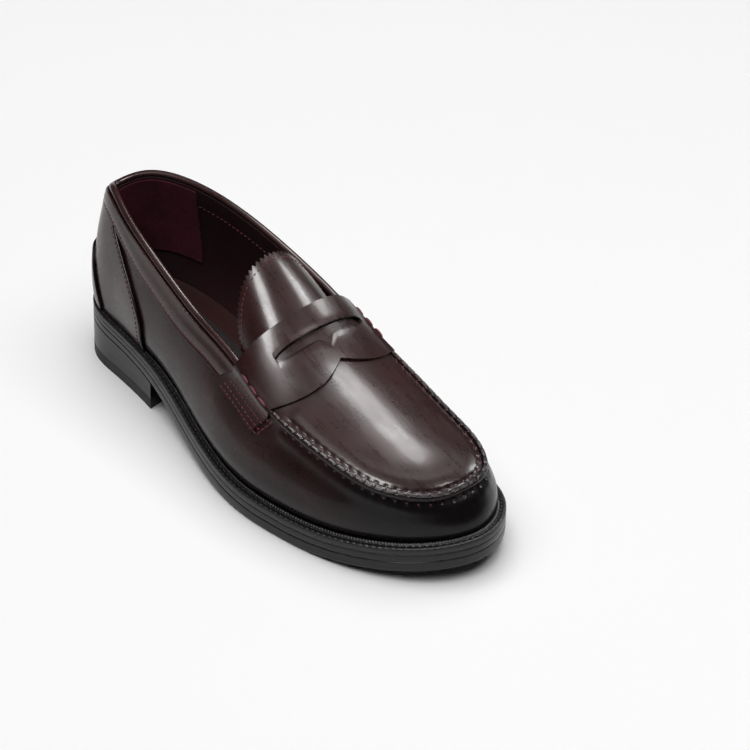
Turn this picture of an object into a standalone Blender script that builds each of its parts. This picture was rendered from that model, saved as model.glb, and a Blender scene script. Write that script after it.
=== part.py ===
"""Penny loafer, right shoe: every separate piece of the shoe as its own closed solid.

Axes: toe towards -Y, heel towards +Y, wearer's outer (lateral) side -X, inner (medial) side +X,
floor at z = 0.  Drawing sizes below are millimetres for one shoe length; MM turns them to metres.
"Station" means the distance forward from the very back of the heel.
"""

import bpy
import bmesh
import numpy as np
from mathutils import Matrix, Vector

# --------------------------------------------------------------------------------------
# Driving sizes (millimetres)
# --------------------------------------------------------------------------------------

MM = 0.001
LENGTH = 302.0                # sole, heel back to toe tip
GAP = 0.3                     # clearance left between neighbouring pieces
SPACE = 0.4                   # the same between curved layers, whose flat facets use some of it up
LEATHER = 1.3                 # thickness of the outer leathers
LINING = 0.8                  # thickness of the lining leathers
FOLD = 1.7                    # radius of the rolled topline binding and of the apron seam roll
HEEL_BREAST = 76.0            # station of the front face of the heel block
HEEL_BLEND = (50.0, 110.0)    # stations between which the sole edge grows to its forepart size
EDGE_HEEL = 11.0              # sole edge thickness over the heel: outsole, midsole and welt
EDGE_FORE = 15.0              # the same in the forepart
WELT_HEEL = 4.3               # welt showing beyond the upper at the heel
WELT_FORE = 6.0               # the same in the forepart

SHOULDER = 1.2                # swell of the wall just below its top
LOW_REACH = 0.34              # height of its low swell, per unit of wall height
HIGH_REACH = 0.28             # the same for the high swell, measured down from the top
LAYER_DROP = 0.7              # how much an inner layer's top edge lies lower, per mm of depth
SAME_POINT = 0.02             # points closer than this are one point
RING_STEPS = 104              # steps round the shoe that the wall layers share
SEAM_CLEAR = FOLD + GAP + 0.1  # distance kept from the rolled edges by the leathers beside them
APRON_REAR = 162.6            # station of the apron's rear edge, hidden under the strap
STRAP_CENTRE = 0.12           # where the slot notch and the front cusp sit across the apron
STRAP_SIDE_REAR = 154.5       # strap edges where it crosses the apron seam
STRAP_SIDE_FRONT = 187.0
STRAP_BACK = 160.8            # station of the strap's rear edge at the middle of the shoe
STRAP_CUSP = 197.5            # station of the two lobes of its front edge
SLOT_MIDDLE = 175.0           # station of the slot
SLOT_HALF = 0.745             # half length of the slot, as a part of half the apron width
SLOT_OPEN = 2.6               # half its height
TAB_DROP = 17.0               # how far the strap ends reach down the wall
TAB_BACK = 12.0               # how far the tab spreads towards the heel
TAB_FORE = 7.0                # and draws back from the toe
HAND_STITCH = (161.0, 181.0)  # run of the long stitches over the apron seam
HAND_THREAD = 0.6             # radius of their thread
TONGUE_TUCK = 6.0             # tongue edges stay this far inside the wall
TONGUE_DROP = 6.0             # and reach this far below the topline
TONGUE_END = 130.2            # station of the tongue's free edge
TONGUE_UNDER = 1.2            # how far its root goes on under the strap
COLLAR_FRONT = 152.0          # stations where the topline binding ends
TOE_PUFF_REAR = 246.0         # where each hidden layer of the upper ends, along the shoe
STIFFENER_FRONT = 72.0
GRIP_FRONT = 44.0
LINING_MEET = (111.0, 112.0)  # the quarter lining stops and the vamp lining starts
PUFF_TOP = 4.5                # how far below the wall top each starts, and how deep the grip reaches
STIFFENER_TOP = 8.0
GRIP_DEPTH = (3.5, 50.0)
OUTSOLE_SHARE = 0.42          # share of the sole edge that is outsole, then midsole, then welt
MIDSOLE_SHARE = 0.28
MIDSOLE_INSET = 0.4           # how far the midsole's edge lies inside the outsole's
WELT_REACH = 13.0             # width of the welt, most of it under the wall
THREAD = 0.5                  # thread radius of the welt stitching
WELT_ROW = 0.42               # where that row lies across the showing part of the welt
SHANK = 1.2                   # steel shank: thickness, half width, run
SHANK_HALF = 7.0
SHANK_RUN = (58.0, 165.0)
CORK_REAR = 170.0             # the cork filler starts here, just ahead of the shank board
INSOLE = 2.2                  # insole board thickness
SOCK = 0.8                    # sock liner thickness
LABEL = 0.5                   # label thickness
LABEL_RUN = (52.0, 108.0)     # stations of the label on the sock liner
LABEL_WIDTH = 24.0
SOLE_MIDDLE = ((40.0, 9.5), (76.0, 8.0), (115.0, 3.0), (165.0, -1.5))
BREAST_HOLLOW = 2.5           # how far the heel block's front face curves in
TOP_PIECE = 6.0               # rubber top piece of the heel
LOWER_LIFT = 5.0              # the heel lift above it
HINGE_STATION = 160.5         # the tongue bends here, just behind the strap
HINGE_HEIGHT = 93.0

# Layers of the upper as depths inward from the outer face of the wall: (outer face, inner face).
WALL_LAYER = (0.0, LEATHER)
STIFFENER_LAYER = (WALL_LAYER[1] + SPACE, WALL_LAYER[1] + SPACE + LINING)
LINING_LAYER = (STIFFENER_LAYER[1] + SPACE, STIFFENER_LAYER[1] + SPACE + LINING)
GRIP_LAYER = (LINING_LAYER[1] + SPACE, LINING_LAYER[1] + SPACE + LINING)
BAND_LAYER = (-SPACE - LEATHER, -SPACE)
PATCH_LAYER = (BAND_LAYER[0] - SPACE - LEATHER, BAND_LAYER[0] - SPACE)
STRAP_LAYER = (-SPACE - LEATHER, -SPACE)

# Sole edge, heel to toe: station, lateral x, medial x.
SOLE_WIDTHS = (
    (12.0, -13.8, 29.8),
    (38.0, -21.0, 40.7),
    (75.0, -27.4, 42.4),
    (115.0, -38.6, 41.6),
    (160.0, -51.8, 47.4),
    (182.0, -54.4, 51.8),
    (205.0, -53.6, 54.4),
    (240.0, -48.2, 53.6),
    (270.0, -36.2, 46.0),
    (288.0, -22.6, 34.8),
)
HEEL_BACK_X = 8.4
TOE_TIP_X = 6.0

# Upper edge of the side wall, same order as SOLE_WIDTHS: the topline round the foot opening,
# then the raised apron seam round the forepart.  Each side: x, station, height.
WALL_TOP_LATERAL = (
    (0.5, 13.5, 100.5),
    (-8.7, 35.1, 97.9),
    (-17.1, 70.0, 88.6),
    (-23.8, 110.8, 77.1),
    (-31.8, 155.0, 69.9),
    (-37.4, 181.2, 63.4),
    (-38.7, 204.8, 58.8),
    (-36.3, 239.4, 52.6),
    (-28.5, 264.5, 48.6),
    (-15.5, 278.5, 46.4),
)
WALL_TOP_MEDIAL = (
    (24.0, 13.5, 102.3),
    (36.0, 36.0, 103.0),
    (42.6, 73.0, 98.0),
    (44.8, 115.0, 88.0),
    (44.6, 159.0, 74.5),
    (42.6, 182.0, 68.0),
    (40.4, 206.0, 63.0),
    (37.3, 241.0, 55.0),
    (34.0, 266.0, 49.2),
    (25.5, 280.0, 47.0),
)
WALL_TOP_BACK = (9.7, 5.0, 97.5)
WALL_TOP_TOE = (6.0, 285.0, 45.8)

# Underside of the outsole: station, height above the floor.
SOLE_RISE = ((0.0, 24.3), (40.0, 21.0), (76.0, 17.0), (110.0, 8.5), (140.0, 3.4), (170.0, 0.6),
             (188.0, 0.0), (212.0, 0.0), (232.0, 1.0), (265.0, 4.5), (302.0, 10.0))

# Swell of the wall just above the welt, and below its top: station, share of height or inset.
LOW_SWELL = ((0.0, 0.05), (30.0, 0.07), (70.0, 0.17), (110.0, 0.22), (200.0, 0.24), (260.0, 0.21),
             (302.0, 0.11))
HIGH_SWELL = ((0.0, 0.60), (30.0, 0.55), (80.0, 0.30), (110.0, 0.25), (250.0, 0.28), (302.0, 0.50))

# Centre line of the apron and tongue: station, height.
CENTRE_RISE = ((286.0, 46.0), (270.0, 53.5), (250.0, 59.5), (230.0, 65.0), (210.0, 70.5),
               (190.0, 77.0), (175.0, 84.0), (160.0, 93.0), (134.0, 111.0), (110.0, 121.0))


def spline(knots, values, at):
    """Smooth curve (natural cubic spline) through values at the knots, read off at `at`."""
    knots = np.asarray(knots, float)
    values = np.asarray(values, float)
    count = len(knots)
    steps = np.diff(knots)
    slopes = np.diff(values, axis=0) / steps[:, None]
    system = np.eye(count)
    right = np.zeros_like(values)
    for i in range(1, count - 1):
        system[i, i - 1:i + 2] = steps[i - 1], 2.0 * (steps[i - 1] + steps[i]), steps[i]
        right[i] = 6.0 * (slopes[i] - slopes[i - 1])
    bend = np.linalg.solve(system, right)
    at = np.asarray(at, float)
    cell = np.clip(np.searchsorted(knots, at, side="right") - 1, 0, count - 2)
    left = (at - knots[cell])[:, None]
    step = steps[cell][:, None]
    rest = step - left
    cubic = (bend[cell] * rest ** 3 + bend[cell + 1] * left ** 3) / (6.0 * step)
    start = (values[cell] / step - bend[cell] * step / 6.0) * rest
    end = (values[cell + 1] / step - bend[cell + 1] * step / 6.0) * left
    return cubic + start + end


def profile(table, station):
    """Smooth value read from a table of (station, value) pairs."""
    table = np.array(sorted(table))
    station = np.atleast_1d(np.asarray(station, float))
    held = np.clip(station, table[0, 0], table[-1, 0])
    return spline(table[:, 0], table[:, 1:], held)[:, 0]


def blend(start, end, value):
    """0 before start, 1 after end, eased between."""
    part = np.clip((np.asarray(value, float) - start) / (end - start), 0.0, 1.0)
    return part * part * (3.0 - 2.0 * part)


def ring_points():
    """Control points round the sole edge and round the wall top, back of heel first."""
    sole = [(HEEL_BACK_X, 0.0)]
    sole += [(lateral, station) for station, lateral, _ in SOLE_WIDTHS]
    sole += [(TOE_TIP_X, LENGTH)]
    sole += [(medial, station) for station, _, medial in reversed(SOLE_WIDTHS)]
    top = [WALL_TOP_BACK, *WALL_TOP_LATERAL, WALL_TOP_TOE, *reversed(WALL_TOP_MEDIAL)]
    return np.array(sole), np.array(top)


SOLE_POINTS, TOP_POINTS = ring_points()
CHORDS = np.linalg.norm(np.roll(SOLE_POINTS, -1, axis=0) - SOLE_POINTS, axis=1)
RING_KNOTS = np.concatenate([[0.0], np.cumsum(CHORDS)]) / CHORDS.sum()
TOE_U = RING_KNOTS[len(SOLE_WIDTHS) + 1]


def ring(points, u):
    """Closed smooth curve through the ring of control points; u = 0 and 1 at the heel back."""
    wrap = 4
    count = len(points)
    order = np.arange(-wrap, count + wrap + 1)
    knots = np.array([RING_KNOTS[i % count] + i // count for i in order])
    return spline(knots, points[order % count], np.mod(np.asarray(u, float), 1.0))


def plan_outward(points, u):
    """Outward direction, in plan, of a ring of control points."""
    small = 1e-4
    run = ring(points[:, :2], np.asarray(u) + small) - ring(points[:, :2], np.asarray(u) - small)
    run /= np.linalg.norm(run, axis=1)[:, None]
    return np.column_stack([run[:, 1], -run[:, 0]]) * PLAN_SIGN


# The ring runs heel, lateral side, toe, medial side; this sign turns its side vector outward.
PLAN_SIGN = -1.0


def edge_thickness(station):
    """Outsole, midsole and welt together."""
    return EDGE_HEEL + (EDGE_FORE - EDGE_HEEL) * blend(*HEEL_BLEND, station)


def sole_edge(u, inset=0.0):
    """Plan point (x, station) of the sole edge, moved inward by inset."""
    return ring(SOLE_POINTS, u) - plan_outward(SOLE_POINTS, u) * np.reshape(inset, (-1, 1))


def sole_under(station):
    """Height of the outsole's underside above the floor."""
    return np.maximum(profile(SOLE_RISE, station), 0.0)


def welt_top(station):
    """Height of the top of the welt."""
    return sole_under(station) + edge_thickness(station)


def welt_inset(station):
    """Width of the welt that shows beyond the upper."""
    return WELT_HEEL + (WELT_FORE - WELT_HEEL) * blend(*HEEL_BLEND, station)


def feather(u, depth=0.0):
    """Foot of the side wall on the welt; depth moves it inward."""
    plan = sole_edge(u, welt_inset(ring(SOLE_POINTS, u)[:, 1]) + depth)
    return np.column_stack([plan, welt_top(plan[:, 1]) + GAP])


def wall_top(u, depth=0.0):
    """Upper edge of the side wall; depth moves it inward and, along the apron, down."""
    point = ring(TOP_POINTS, u)
    drop = LAYER_DROP * blend(140.0, 165.0, point[:, 1])
    inward = -plan_outward(TOP_POINTS, u)
    return point + np.column_stack([inward, -drop]) * np.reshape(depth, (-1, 1))


def wall(u, v, depth=0.0):
    """Point of the side wall: v = 0 at the welt, 1 at the top; depth counts inward."""
    u = np.asarray(u, float)
    foot = feather(u, depth)
    top = wall_top(u, depth)
    rise = (top[:, 2] - foot[:, 2])[:, None]
    out_foot = np.column_stack([plan_outward(SOLE_POINTS, u), np.zeros(len(u))])
    out_top = np.column_stack([plan_outward(TOP_POINTS, u), np.zeros(len(u))])
    inset = np.sum((foot - top) * out_top, axis=1)[:, None]
    swell = profile(LOW_SWELL, foot[:, 1])[:, None]
    low = foot + out_foot * (swell * rise) + np.array([0.0, 0.0, LOW_REACH]) * rise
    shoulder = SHOULDER + profile(HIGH_SWELL, foot[:, 1])[:, None] * np.maximum(inset, 0.0)
    high = top + out_top * shoulder - np.array([0.0, 0.0, HIGH_REACH]) * rise
    v = np.reshape(np.broadcast_to(v, u.shape), (-1, 1))
    w = 1.0 - v
    return foot * w ** 3 + low * 3 * w * w * v + high * 3 * w * v * v + top * v ** 3


def ring_u_at(points, station, lateral):
    """Ring parameter where one side of a ring passes a station."""
    u = np.linspace(0.0, TOE_U, 400) if lateral else np.linspace(1.0, TOE_U, 400)
    return np.interp(station, ring(points, u)[:, 1], u)


def centre_line(station, depth):
    """Height of the apron's middle at a layer depth, counted square to its slope."""
    slope = profile(CENTRE_RISE, station + 0.5) - profile(CENTRE_RISE, station - 0.5)
    return profile(CENTRE_RISE, station) - depth * np.sqrt(1.0 + slope ** 2)


def apron(station, across, depth=0.0):
    """Point of the apron and tongue arch: across runs -1 at the lateral seam to 1 at the medial."""
    station = np.asarray(station, float)
    across = np.reshape(np.broadcast_to(across, station.shape), (-1, 1))
    lateral = wall_top(ring_u_at(TOP_POINTS, station, True), depth)
    medial = wall_top(ring_u_at(TOP_POINTS, station, False), depth)
    chord = lateral + (medial - lateral) * (across + 1.0) / 2.0
    centre = centre_line(station, depth)[:, None]
    crown = np.maximum(centre - (lateral[:, 2:] + medial[:, 2:]) / 2.0, 0.0)
    power = 1.0 - 0.25 * blend(200.0, 140.0, station)[:, None]
    arch = crown * np.maximum(1.0 - across * across, 0.0) ** power
    return chord + arch * np.array([0.0, 0.0, 1.0])


def wall_v(u, below):
    """Wall parameter v at a distance below the wall top, measured down the leather."""
    samples = np.linspace(1.0, 0.0, 33)
    points = np.stack([wall(u, v) for v in samples])
    lengths = np.linalg.norm(np.diff(points, axis=0), axis=2)
    run = np.vstack([np.zeros(len(u)), np.cumsum(lengths, axis=0)])
    below = np.broadcast_to(below, (len(u),))
    return np.array([np.interp(below[i], run[:, i], samples) for i in range(len(u))])


def wall_below(u, below, depth):
    """Point of the wall at a distance below its top, at a layer depth."""
    u = np.asarray(u, float)
    return wall(u, wall_v(u, below), depth)


# --------------------------------------------------------------------------------------
# Mesh helpers
# --------------------------------------------------------------------------------------


def to_world(points):
    """Drawing (x, station, height) in millimetres to world metres."""
    points = np.asarray(points, float)
    return np.column_stack([points[:, 0], LENGTH / 2.0 - points[:, 1], points[:, 2]]) * MM


def grid_faces(rows, columns, closed=False):
    """Quads of a rows x columns grid of points; closed joins the last row to the first."""
    faces = []
    for i in range(rows if closed else rows - 1):
        for j in range(columns - 1):
            a, b = i * columns + j, ((i + 1) % rows) * columns + j
            faces.append((a, b, b + 1, a + 1))
    return faces


def add_mesh(name, points, faces):
    """Mesh object from drawing points; points that coincide become one."""
    mesh = bpy.data.meshes.new(name)
    mesh.from_pydata(to_world(points).tolist(), [], faces)
    work = bmesh.new()
    work.from_mesh(mesh)
    bmesh.ops.remove_doubles(work, verts=work.verts, dist=SAME_POINT * MM)
    work.to_mesh(mesh)
    work.free()
    mesh.shade_smooth()
    thing = bpy.data.objects.new(name, mesh)
    SHOE.objects.link(thing)
    return thing


def leather(name, outer, faces, thickness):
    """Leather piece: its outer face as an open sheet, thickened inward."""
    thing = add_mesh(name, outer, faces)
    solid = thing.modifiers.new("thickness", "SOLIDIFY")
    solid.thickness = thickness * MM
    solid.offset = -1.0
    solid.use_even_offset = True
    return thing


def slab(name, plan, top, bottom, faces):
    """Solid between two height functions of the station, over a plan of (x, station) points."""
    count = len(plan)
    edges = {(face[i - 1], face[i]) for face in faces for i in range(len(face))}
    rim = [(a, b) for a, b in sorted(edges) if (b, a) not in edges]
    solid = list(faces)
    solid += [tuple(i + count for i in reversed(face)) for face in faces]
    solid += [(b, a, a + count, b + count) for a, b in rim]
    upper = np.column_stack([plan, top(plan[:, 1])])
    lower = np.column_stack([plan, bottom(plan[:, 1])])
    return add_mesh(name, np.vstack([upper, lower]), solid)


def cord(name, path, radius, closed=False, roundness=2):
    """Round cord along a path of drawing points."""
    curve = bpy.data.curves.new(name, "CURVE")
    curve.dimensions = "3D"
    curve.bevel_depth = radius * MM
    curve.bevel_resolution = roundness
    curve.use_fill_caps = True
    run = curve.splines.new("POLY")
    run.points.add(len(path) - 1)
    for point, place in zip(run.points, to_world(path)):
        point.co = (*place, 1.0)
    run.use_cyclic_u = closed
    thing = bpy.data.objects.new(name, curve)
    SHOE.objects.link(thing)
    return thing


def wall_piece(name, u, top_below, foot_below, layer, rows=8):
    """Leather on the wall between two distances below its top (foot None: the welt), along a run of u."""
    top_v = wall_v(u, top_below)
    foot_v = np.zeros(len(u)) if foot_below is None else wall_v(u, foot_below)
    strips = [wall(u, foot_v + (top_v - foot_v) * t, layer[0]) for t in np.linspace(0.0, 1.0, rows)]
    outer = np.stack(strips, axis=1).reshape(-1, 3)
    return leather(name, outer, grid_faces(len(u), rows), layer[1] - layer[0])


def u_between(start, end):
    """Ring parameters from start to end, on steps that every layer shares so that they nest."""
    steps = np.arange(-RING_STEPS, 2 * RING_STEPS + 1) / RING_STEPS
    margin = 0.3 / RING_STEPS
    return np.array([start, *steps[(steps > start + margin) & (steps < end - margin)], end])


def round_toe(station):
    """Ring parameters from one side to the other round the toe, starting at a station."""
    start = float(ring_u_at(TOP_POINTS, station, True))
    return u_between(start, float(ring_u_at(TOP_POINTS, station, False)))


def round_heel(station):
    """Ring parameters from the inner side round the heel to the outer side."""
    start = float(ring_u_at(TOP_POINTS, station, False)) - 1.0
    return u_between(start, float(ring_u_at(TOP_POINTS, station, True)))


def sole_plan(inset, first, last, rows=32, columns=3, hollow=0.0):
    """Plan points inside the sole edge between two stations, row by row across the shoe."""
    inset = inset if callable(inset) else (lambda station, fixed=inset: np.full_like(station, fixed))
    dense = np.linspace(0.0, TOE_U, 500), np.linspace(1.0, TOE_U, 500)
    sides = [sole_edge(u, inset(ring(SOLE_POINTS, u)[:, 1])) for u in dense]
    low = max(first, sides[0][0, 1])
    high = min(last, sides[0][-1, 1])
    steps = np.linspace(0.0, np.pi, rows)
    stations = low + (high - low) * (1.0 - np.cos(steps)) / 2.0
    lateral = np.interp(stations, sides[0][:, 1], sides[0][:, 0])
    medial = np.interp(stations, sides[1][:, 1], sides[1][:, 0])
    across = np.linspace(0.0, 1.0, columns)
    x = lateral[:, None] + (medial - lateral)[:, None] * across
    bow = hollow * (1.0 - (2.0 * across - 1.0) ** 2) * blend(high - 25.0, high, stations)[:, None]
    plan = np.stack([x, stations[:, None] - bow], axis=2).reshape(-1, 2)
    return plan, grid_faces(rows, columns)


# --------------------------------------------------------------------------------------
# Pieces
# --------------------------------------------------------------------------------------

def strap_rear(across):
    """Station of the strap's rear edge, curving back towards both sides."""
    across = np.asarray(across, float)
    return STRAP_BACK - np.where(across < 0.0, 8.5, 6.0) * across ** 2


def strap_front(across):
    """Two rounded lobes meeting in a point that faces the heel."""
    offset = np.abs(np.asarray(across, float) - STRAP_CENTRE)
    lobes = STRAP_CUSP - 11.0 * np.clip((offset - 0.48) / 0.6, 0.0, 1.0) ** 2
    return lobes - 6.5 * np.clip(1.0 - offset / 0.42, 0.0, 1.0) ** 1.6


def slot_edges(across):
    """Rear and front edge of the slot; the front one has a small notch, and both meet at the ends."""
    offset = np.minimum(np.abs(np.asarray(across, float) - STRAP_CENTRE) / SLOT_HALF, 1.0)
    middle = SLOT_MIDDLE - 3.5 * offset ** 2
    half = SLOT_OPEN * np.maximum(1.0 - offset ** 6, 0.0) ** 0.5
    notch = 4.0 * np.clip(1.0 - offset / 0.2, 0.0, 1.0) ** 1.3
    return middle - half, middle + half + notch


def strap_point(across, station, depth):
    """Point on the strap: across beyond -1 or 1 runs down the wall, in millimetres."""
    on_top = apron(station, np.clip(across, -1.0, 1.0), depth)
    below = np.maximum(np.abs(across) - 1.0, 0.0)
    lateral = ring_u_at(TOP_POINTS, station, True)
    medial = ring_u_at(TOP_POINTS, station, False)
    down = wall_below(np.where(across < 0.0, lateral, medial), below, depth)
    return np.where((below > 0.0)[:, None], down, on_top)


def saddle_strap():
    """Strap across the instep with its slot, and a tab at each end sewn to the wall."""
    tab = TAB_DROP * np.array([1.0, 0.76, 0.53, 0.3, 0.12])
    across = np.concatenate([-1.0 - tab, np.linspace(-1.0, 1.0, 37), 1.0 + tab[::-1]])
    for end in (STRAP_CENTRE - SLOT_HALF, STRAP_CENTRE + SLOT_HALF, STRAP_CENTRE):
        across[np.argmin(np.abs(across - end))] = end
    held = np.clip(across, -1.0, 1.0)
    below = np.maximum(np.abs(across) - 1.0, 0.0)
    rear = strap_rear(held) - TAB_BACK * blend(0.0, TAB_DROP, below)
    front = strap_front(held) - TAB_FORE * blend(0.0, TAB_DROP, below)
    slot_rear, slot_front = slot_edges(held)
    rows = 4
    stations = [rear + (slot_rear - rear) * t for t in np.linspace(0.0, 1.0, rows)]
    stations += [slot_front + (front - slot_front) * t for t in np.linspace(0.0, 1.0, rows)]
    outer = np.vstack([strap_point(across, station, STRAP_LAYER[0]) for station in stations])
    faces = grid_faces(2 * rows, len(across))
    faces = [face for face in faces if face[0] // len(across) != rows - 1]
    return leather("saddle_strap", outer, faces, STRAP_LAYER[1] - STRAP_LAYER[0])


def strap_thread(name, lateral):
    """Long hand stitch lying on the strap where it crosses the apron seam."""
    u = ring_u_at(TOP_POINTS, np.linspace(*HAND_STITCH, 9), lateral)
    return cord(name, wall_top(u, STRAP_LAYER[0] - GAP - HAND_THREAD), HAND_THREAD)


def vamp_wall():
    """Side wall in one piece round the toe, its ends meeting at the back of the heel."""
    u = u_between(0.0005, 0.9995)
    return wall_piece("vamp_wall", u, SEAM_CLEAR, None, WALL_LAYER, rows=7)


def apron_sheet(name, inset, rear, layer):
    """Solid of the apron surface forward of a station, its edge held in from the seam."""
    columns = 11
    start = ring_u_at(TOP_POINTS, rear, True)
    u = start + (TOE_U - start) * np.sin(np.linspace(0.0, np.pi / 2.0, 20)) * 0.997
    edge = ring(TOP_POINTS, u)[:, :2] - plan_outward(TOP_POINTS, u) * inset
    stations = edge[:, 1]
    dense = np.linspace(1.0, TOE_U, 400)
    other = ring(TOP_POINTS, dense)[:, :2] - plan_outward(TOP_POINTS, dense) * inset
    far_x = np.interp(stations, other[:, 1], other[:, 0])
    lateral = ring(TOP_POINTS, ring_u_at(TOP_POINTS, stations, True))[:, 0]
    medial = ring(TOP_POINTS, ring_u_at(TOP_POINTS, stations, False))[:, 0]
    strips = []
    for part in np.linspace(0.0, 1.0, columns):
        x = edge[:, 0] + (far_x - edge[:, 0]) * part
        across = 2.0 * (x - lateral) / (medial - lateral) - 1.0
        strips.append(apron(stations, across, layer[0]))
    outer = np.stack(strips, axis=1).reshape(-1, 3)
    return leather(name, outer, grid_faces(len(u), columns), layer[1] - layer[0])


def apron_seam():
    """Cord rolled into the raised seam between the apron and the wall, strap to strap."""
    start = ring_u_at(TOP_POINTS, STRAP_SIDE_FRONT + 1.5, True)
    end = ring_u_at(TOP_POINTS, strap_front(1.0) + 1.5, False)
    return cord("apron_seam_roll", wall_top(np.linspace(start, end, 48)), FOLD)


def tongue_end(across):
    """Station of the rounded free edge of the tongue."""
    return TONGUE_END + 18.0 * np.abs(across) ** 7


def tongue_point(station, across, depth):
    """Arch of the tongue, narrower than the wall so that its sides tuck inside the collar."""
    lateral = ring(TOP_POINTS, ring_u_at(TOP_POINTS, station, True))
    medial = ring(TOP_POINTS, ring_u_at(TOP_POINTS, station, False))
    half = (medial[:, 0] - lateral[:, 0]) / 2.0 - TONGUE_TUCK - depth
    centre = (medial[:, 0] + lateral[:, 0]) / 2.0
    side = lateral[:, 2] + (medial[:, 2] - lateral[:, 2]) * (across + 1.0) / 2.0 - TONGUE_DROP
    crown = centre_line(station, depth) - side
    arch = np.maximum(1.0 - across ** 2, 0.0) ** 0.62
    return np.column_stack([centre + half * across, station, side + crown * arch])


def tongue_sheet(name, layer, inset):
    """Solid of the tongue behind the strap, edges held in by inset."""
    rows, columns = 9, 17
    across = np.sin(np.linspace(-np.pi / 2.0, np.pi / 2.0, columns))
    front = strap_rear(across) + TONGUE_UNDER - inset
    rear = tongue_end(across) + inset
    steps = np.linspace(0.0, 1.0, rows)
    outer = np.vstack([tongue_point(rear + (front - rear) * t, across, layer[0]) for t in steps])
    return leather(name, outer, grid_faces(rows, columns), layer[1] - layer[0])


def binding():
    """Rolled leather edge along the topline, from strap round the heel to strap."""
    u = round_heel(COLLAR_FRONT)
    path = wall_top(u, (WALL_LAYER[0] + LINING_LAYER[0]) / 2.0)
    return cord("topline_binding", path, FOLD)


def band_width(u):
    """Width of the collar band: narrow at the back, widest at the sides of the heel."""
    stations = ring(TOP_POINTS, u)[:, 1]
    return 10.5 + 5.0 * blend(20.0, 65.0, stations) - 2.0 * blend(90.0, 130.0, stations)


def collar_band():
    """Band sewn round the outside of the topline, ending against the strap tabs."""
    u = round_heel(STRAP_SIDE_REAR - TAB_BACK - 2.5)
    return wall_piece("collar_band", u, SEAM_CLEAR, band_width(u), BAND_LAYER, rows=4)


def counter_reach(drop):
    """Station of the front edge of the heel counter; drop is 0 at the collar band, 1 at the welt."""
    return 28.0 + 34.5 * np.sin(np.clip(drop / 0.6, 0.0, 1.0) * np.pi / 2.0) - 3.0 * blend(0.6, 1.0, drop)


def counter_sheet(name, reach, top_gap, drops, layer, columns=29):
    """Piece of leather on the heel, between two heights, with its own front outline."""
    spread = np.linspace(-1.0, 1.0, columns)
    strips = []
    for drop in drops:
        lateral = ring_u_at(TOP_POINTS, reach(drop), True)
        medial = 1.0 - ring_u_at(TOP_POINTS, reach(drop), False)
        u = np.where(spread > 0.0, lateral, medial) * spread
        top = wall_v(u, band_width(u) + top_gap)
        strips.append(wall(u, top * (1.0 - drop), layer[0]))
    return leather(name, np.vstack(strips), grid_faces(len(drops), columns), layer[1] - layer[0])


def heel_counter():
    return counter_sheet("heel_counter", counter_reach, GAP + 0.1, np.linspace(0.0, 1.0, 10), BAND_LAYER)


def kicker_reach(drop):
    """Half-moon outline of the low patch at the back of the heel."""
    return 6.0 + 16.0 * np.sqrt(np.clip((drop - 0.42) / 0.5, 0.0, 1.0))


def kicker_patch():
    drops = 0.45 + 0.53 * (1.0 - np.cos(np.linspace(0.0, np.pi / 2.0, 8)))
    return counter_sheet("heel_kicker", kicker_reach, GAP, drops, PATCH_LAYER, columns=17)


def toe_puff():
    return wall_piece("toe_puff", round_toe(TOE_PUFF_REAR), PUFF_TOP, None, STIFFENER_LAYER, rows=5)


def heel_stiffener():
    u = round_heel(STIFFENER_FRONT)
    return wall_piece("heel_stiffener", u, STIFFENER_TOP, None, STIFFENER_LAYER, rows=6)


def vamp_lining():
    u = round_toe(LINING_MEET[1])
    clear = PUFF_TOP + 2.0 * blend(LINING_MEET[1], 165.0, ring(TOP_POINTS, u)[:, 1])
    return wall_piece("vamp_lining", u, clear, None, LINING_LAYER, rows=5)


def quarter_lining():
    return wall_piece("quarter_lining", round_heel(LINING_MEET[0]), SEAM_CLEAR, None, LINING_LAYER, rows=7)


def heel_grip():
    return wall_piece("heel_grip", round_heel(GRIP_FRONT), *GRIP_DEPTH, GRIP_LAYER, rows=7)


def level(share):
    """Height at a share of the sole edge thickness, as a function of the station."""
    return lambda station: sole_under(station) + edge_thickness(station) * share


def shifted(surface, amount):
    """A height function raised by an amount."""
    return lambda station: surface(station) + amount


def welt():
    """Strip of leather all round the shoe, under and outside the foot of the wall."""
    u = np.arange(RING_STEPS) / RING_STEPS
    insets = np.array([0.0, WELT_FORE, WELT_REACH])
    plan = np.stack([sole_edge(u, inset) for inset in insets], axis=1).reshape(-1, 2)
    faces = grid_faces(len(u), len(insets), closed=True)
    low = shifted(level(OUTSOLE_SHARE + MIDSOLE_SHARE), 2.0 * GAP)
    return slab("welt", plan, welt_top, low, faces)


def welt_thread():
    """Stitching laid along the top of the welt."""
    u = np.arange(RING_STEPS) / RING_STEPS
    station = ring(SOLE_POINTS, u)[:, 1]
    plan = sole_edge(u, WELT_ROW * welt_inset(station))
    path = np.column_stack([plan, welt_top(plan[:, 1]) + GAP + THREAD])
    return cord("welt_thread", path, THREAD, closed=True, roundness=0)


def outsole():
    plan, faces = sole_plan(0.0, 0.0, LENGTH)
    return slab("outsole", plan, level(OUTSOLE_SHARE), sole_under, faces)


def midsole():
    plan, faces = sole_plan(MIDSOLE_INSET, 0.0, LENGTH)
    low = shifted(level(OUTSOLE_SHARE), GAP)
    high = shifted(level(OUTSOLE_SHARE + MIDSOLE_SHARE), GAP)
    return slab("midsole", plan, high, low, faces)


def cork_filler():
    plan, faces = sole_plan(WELT_REACH + GAP, CORK_REAR, LENGTH, rows=20)
    low = shifted(level(OUTSOLE_SHARE + MIDSOLE_SHARE), 2.0 * GAP)
    return slab("cork_filler", plan, welt_top, low, faces)


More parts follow.
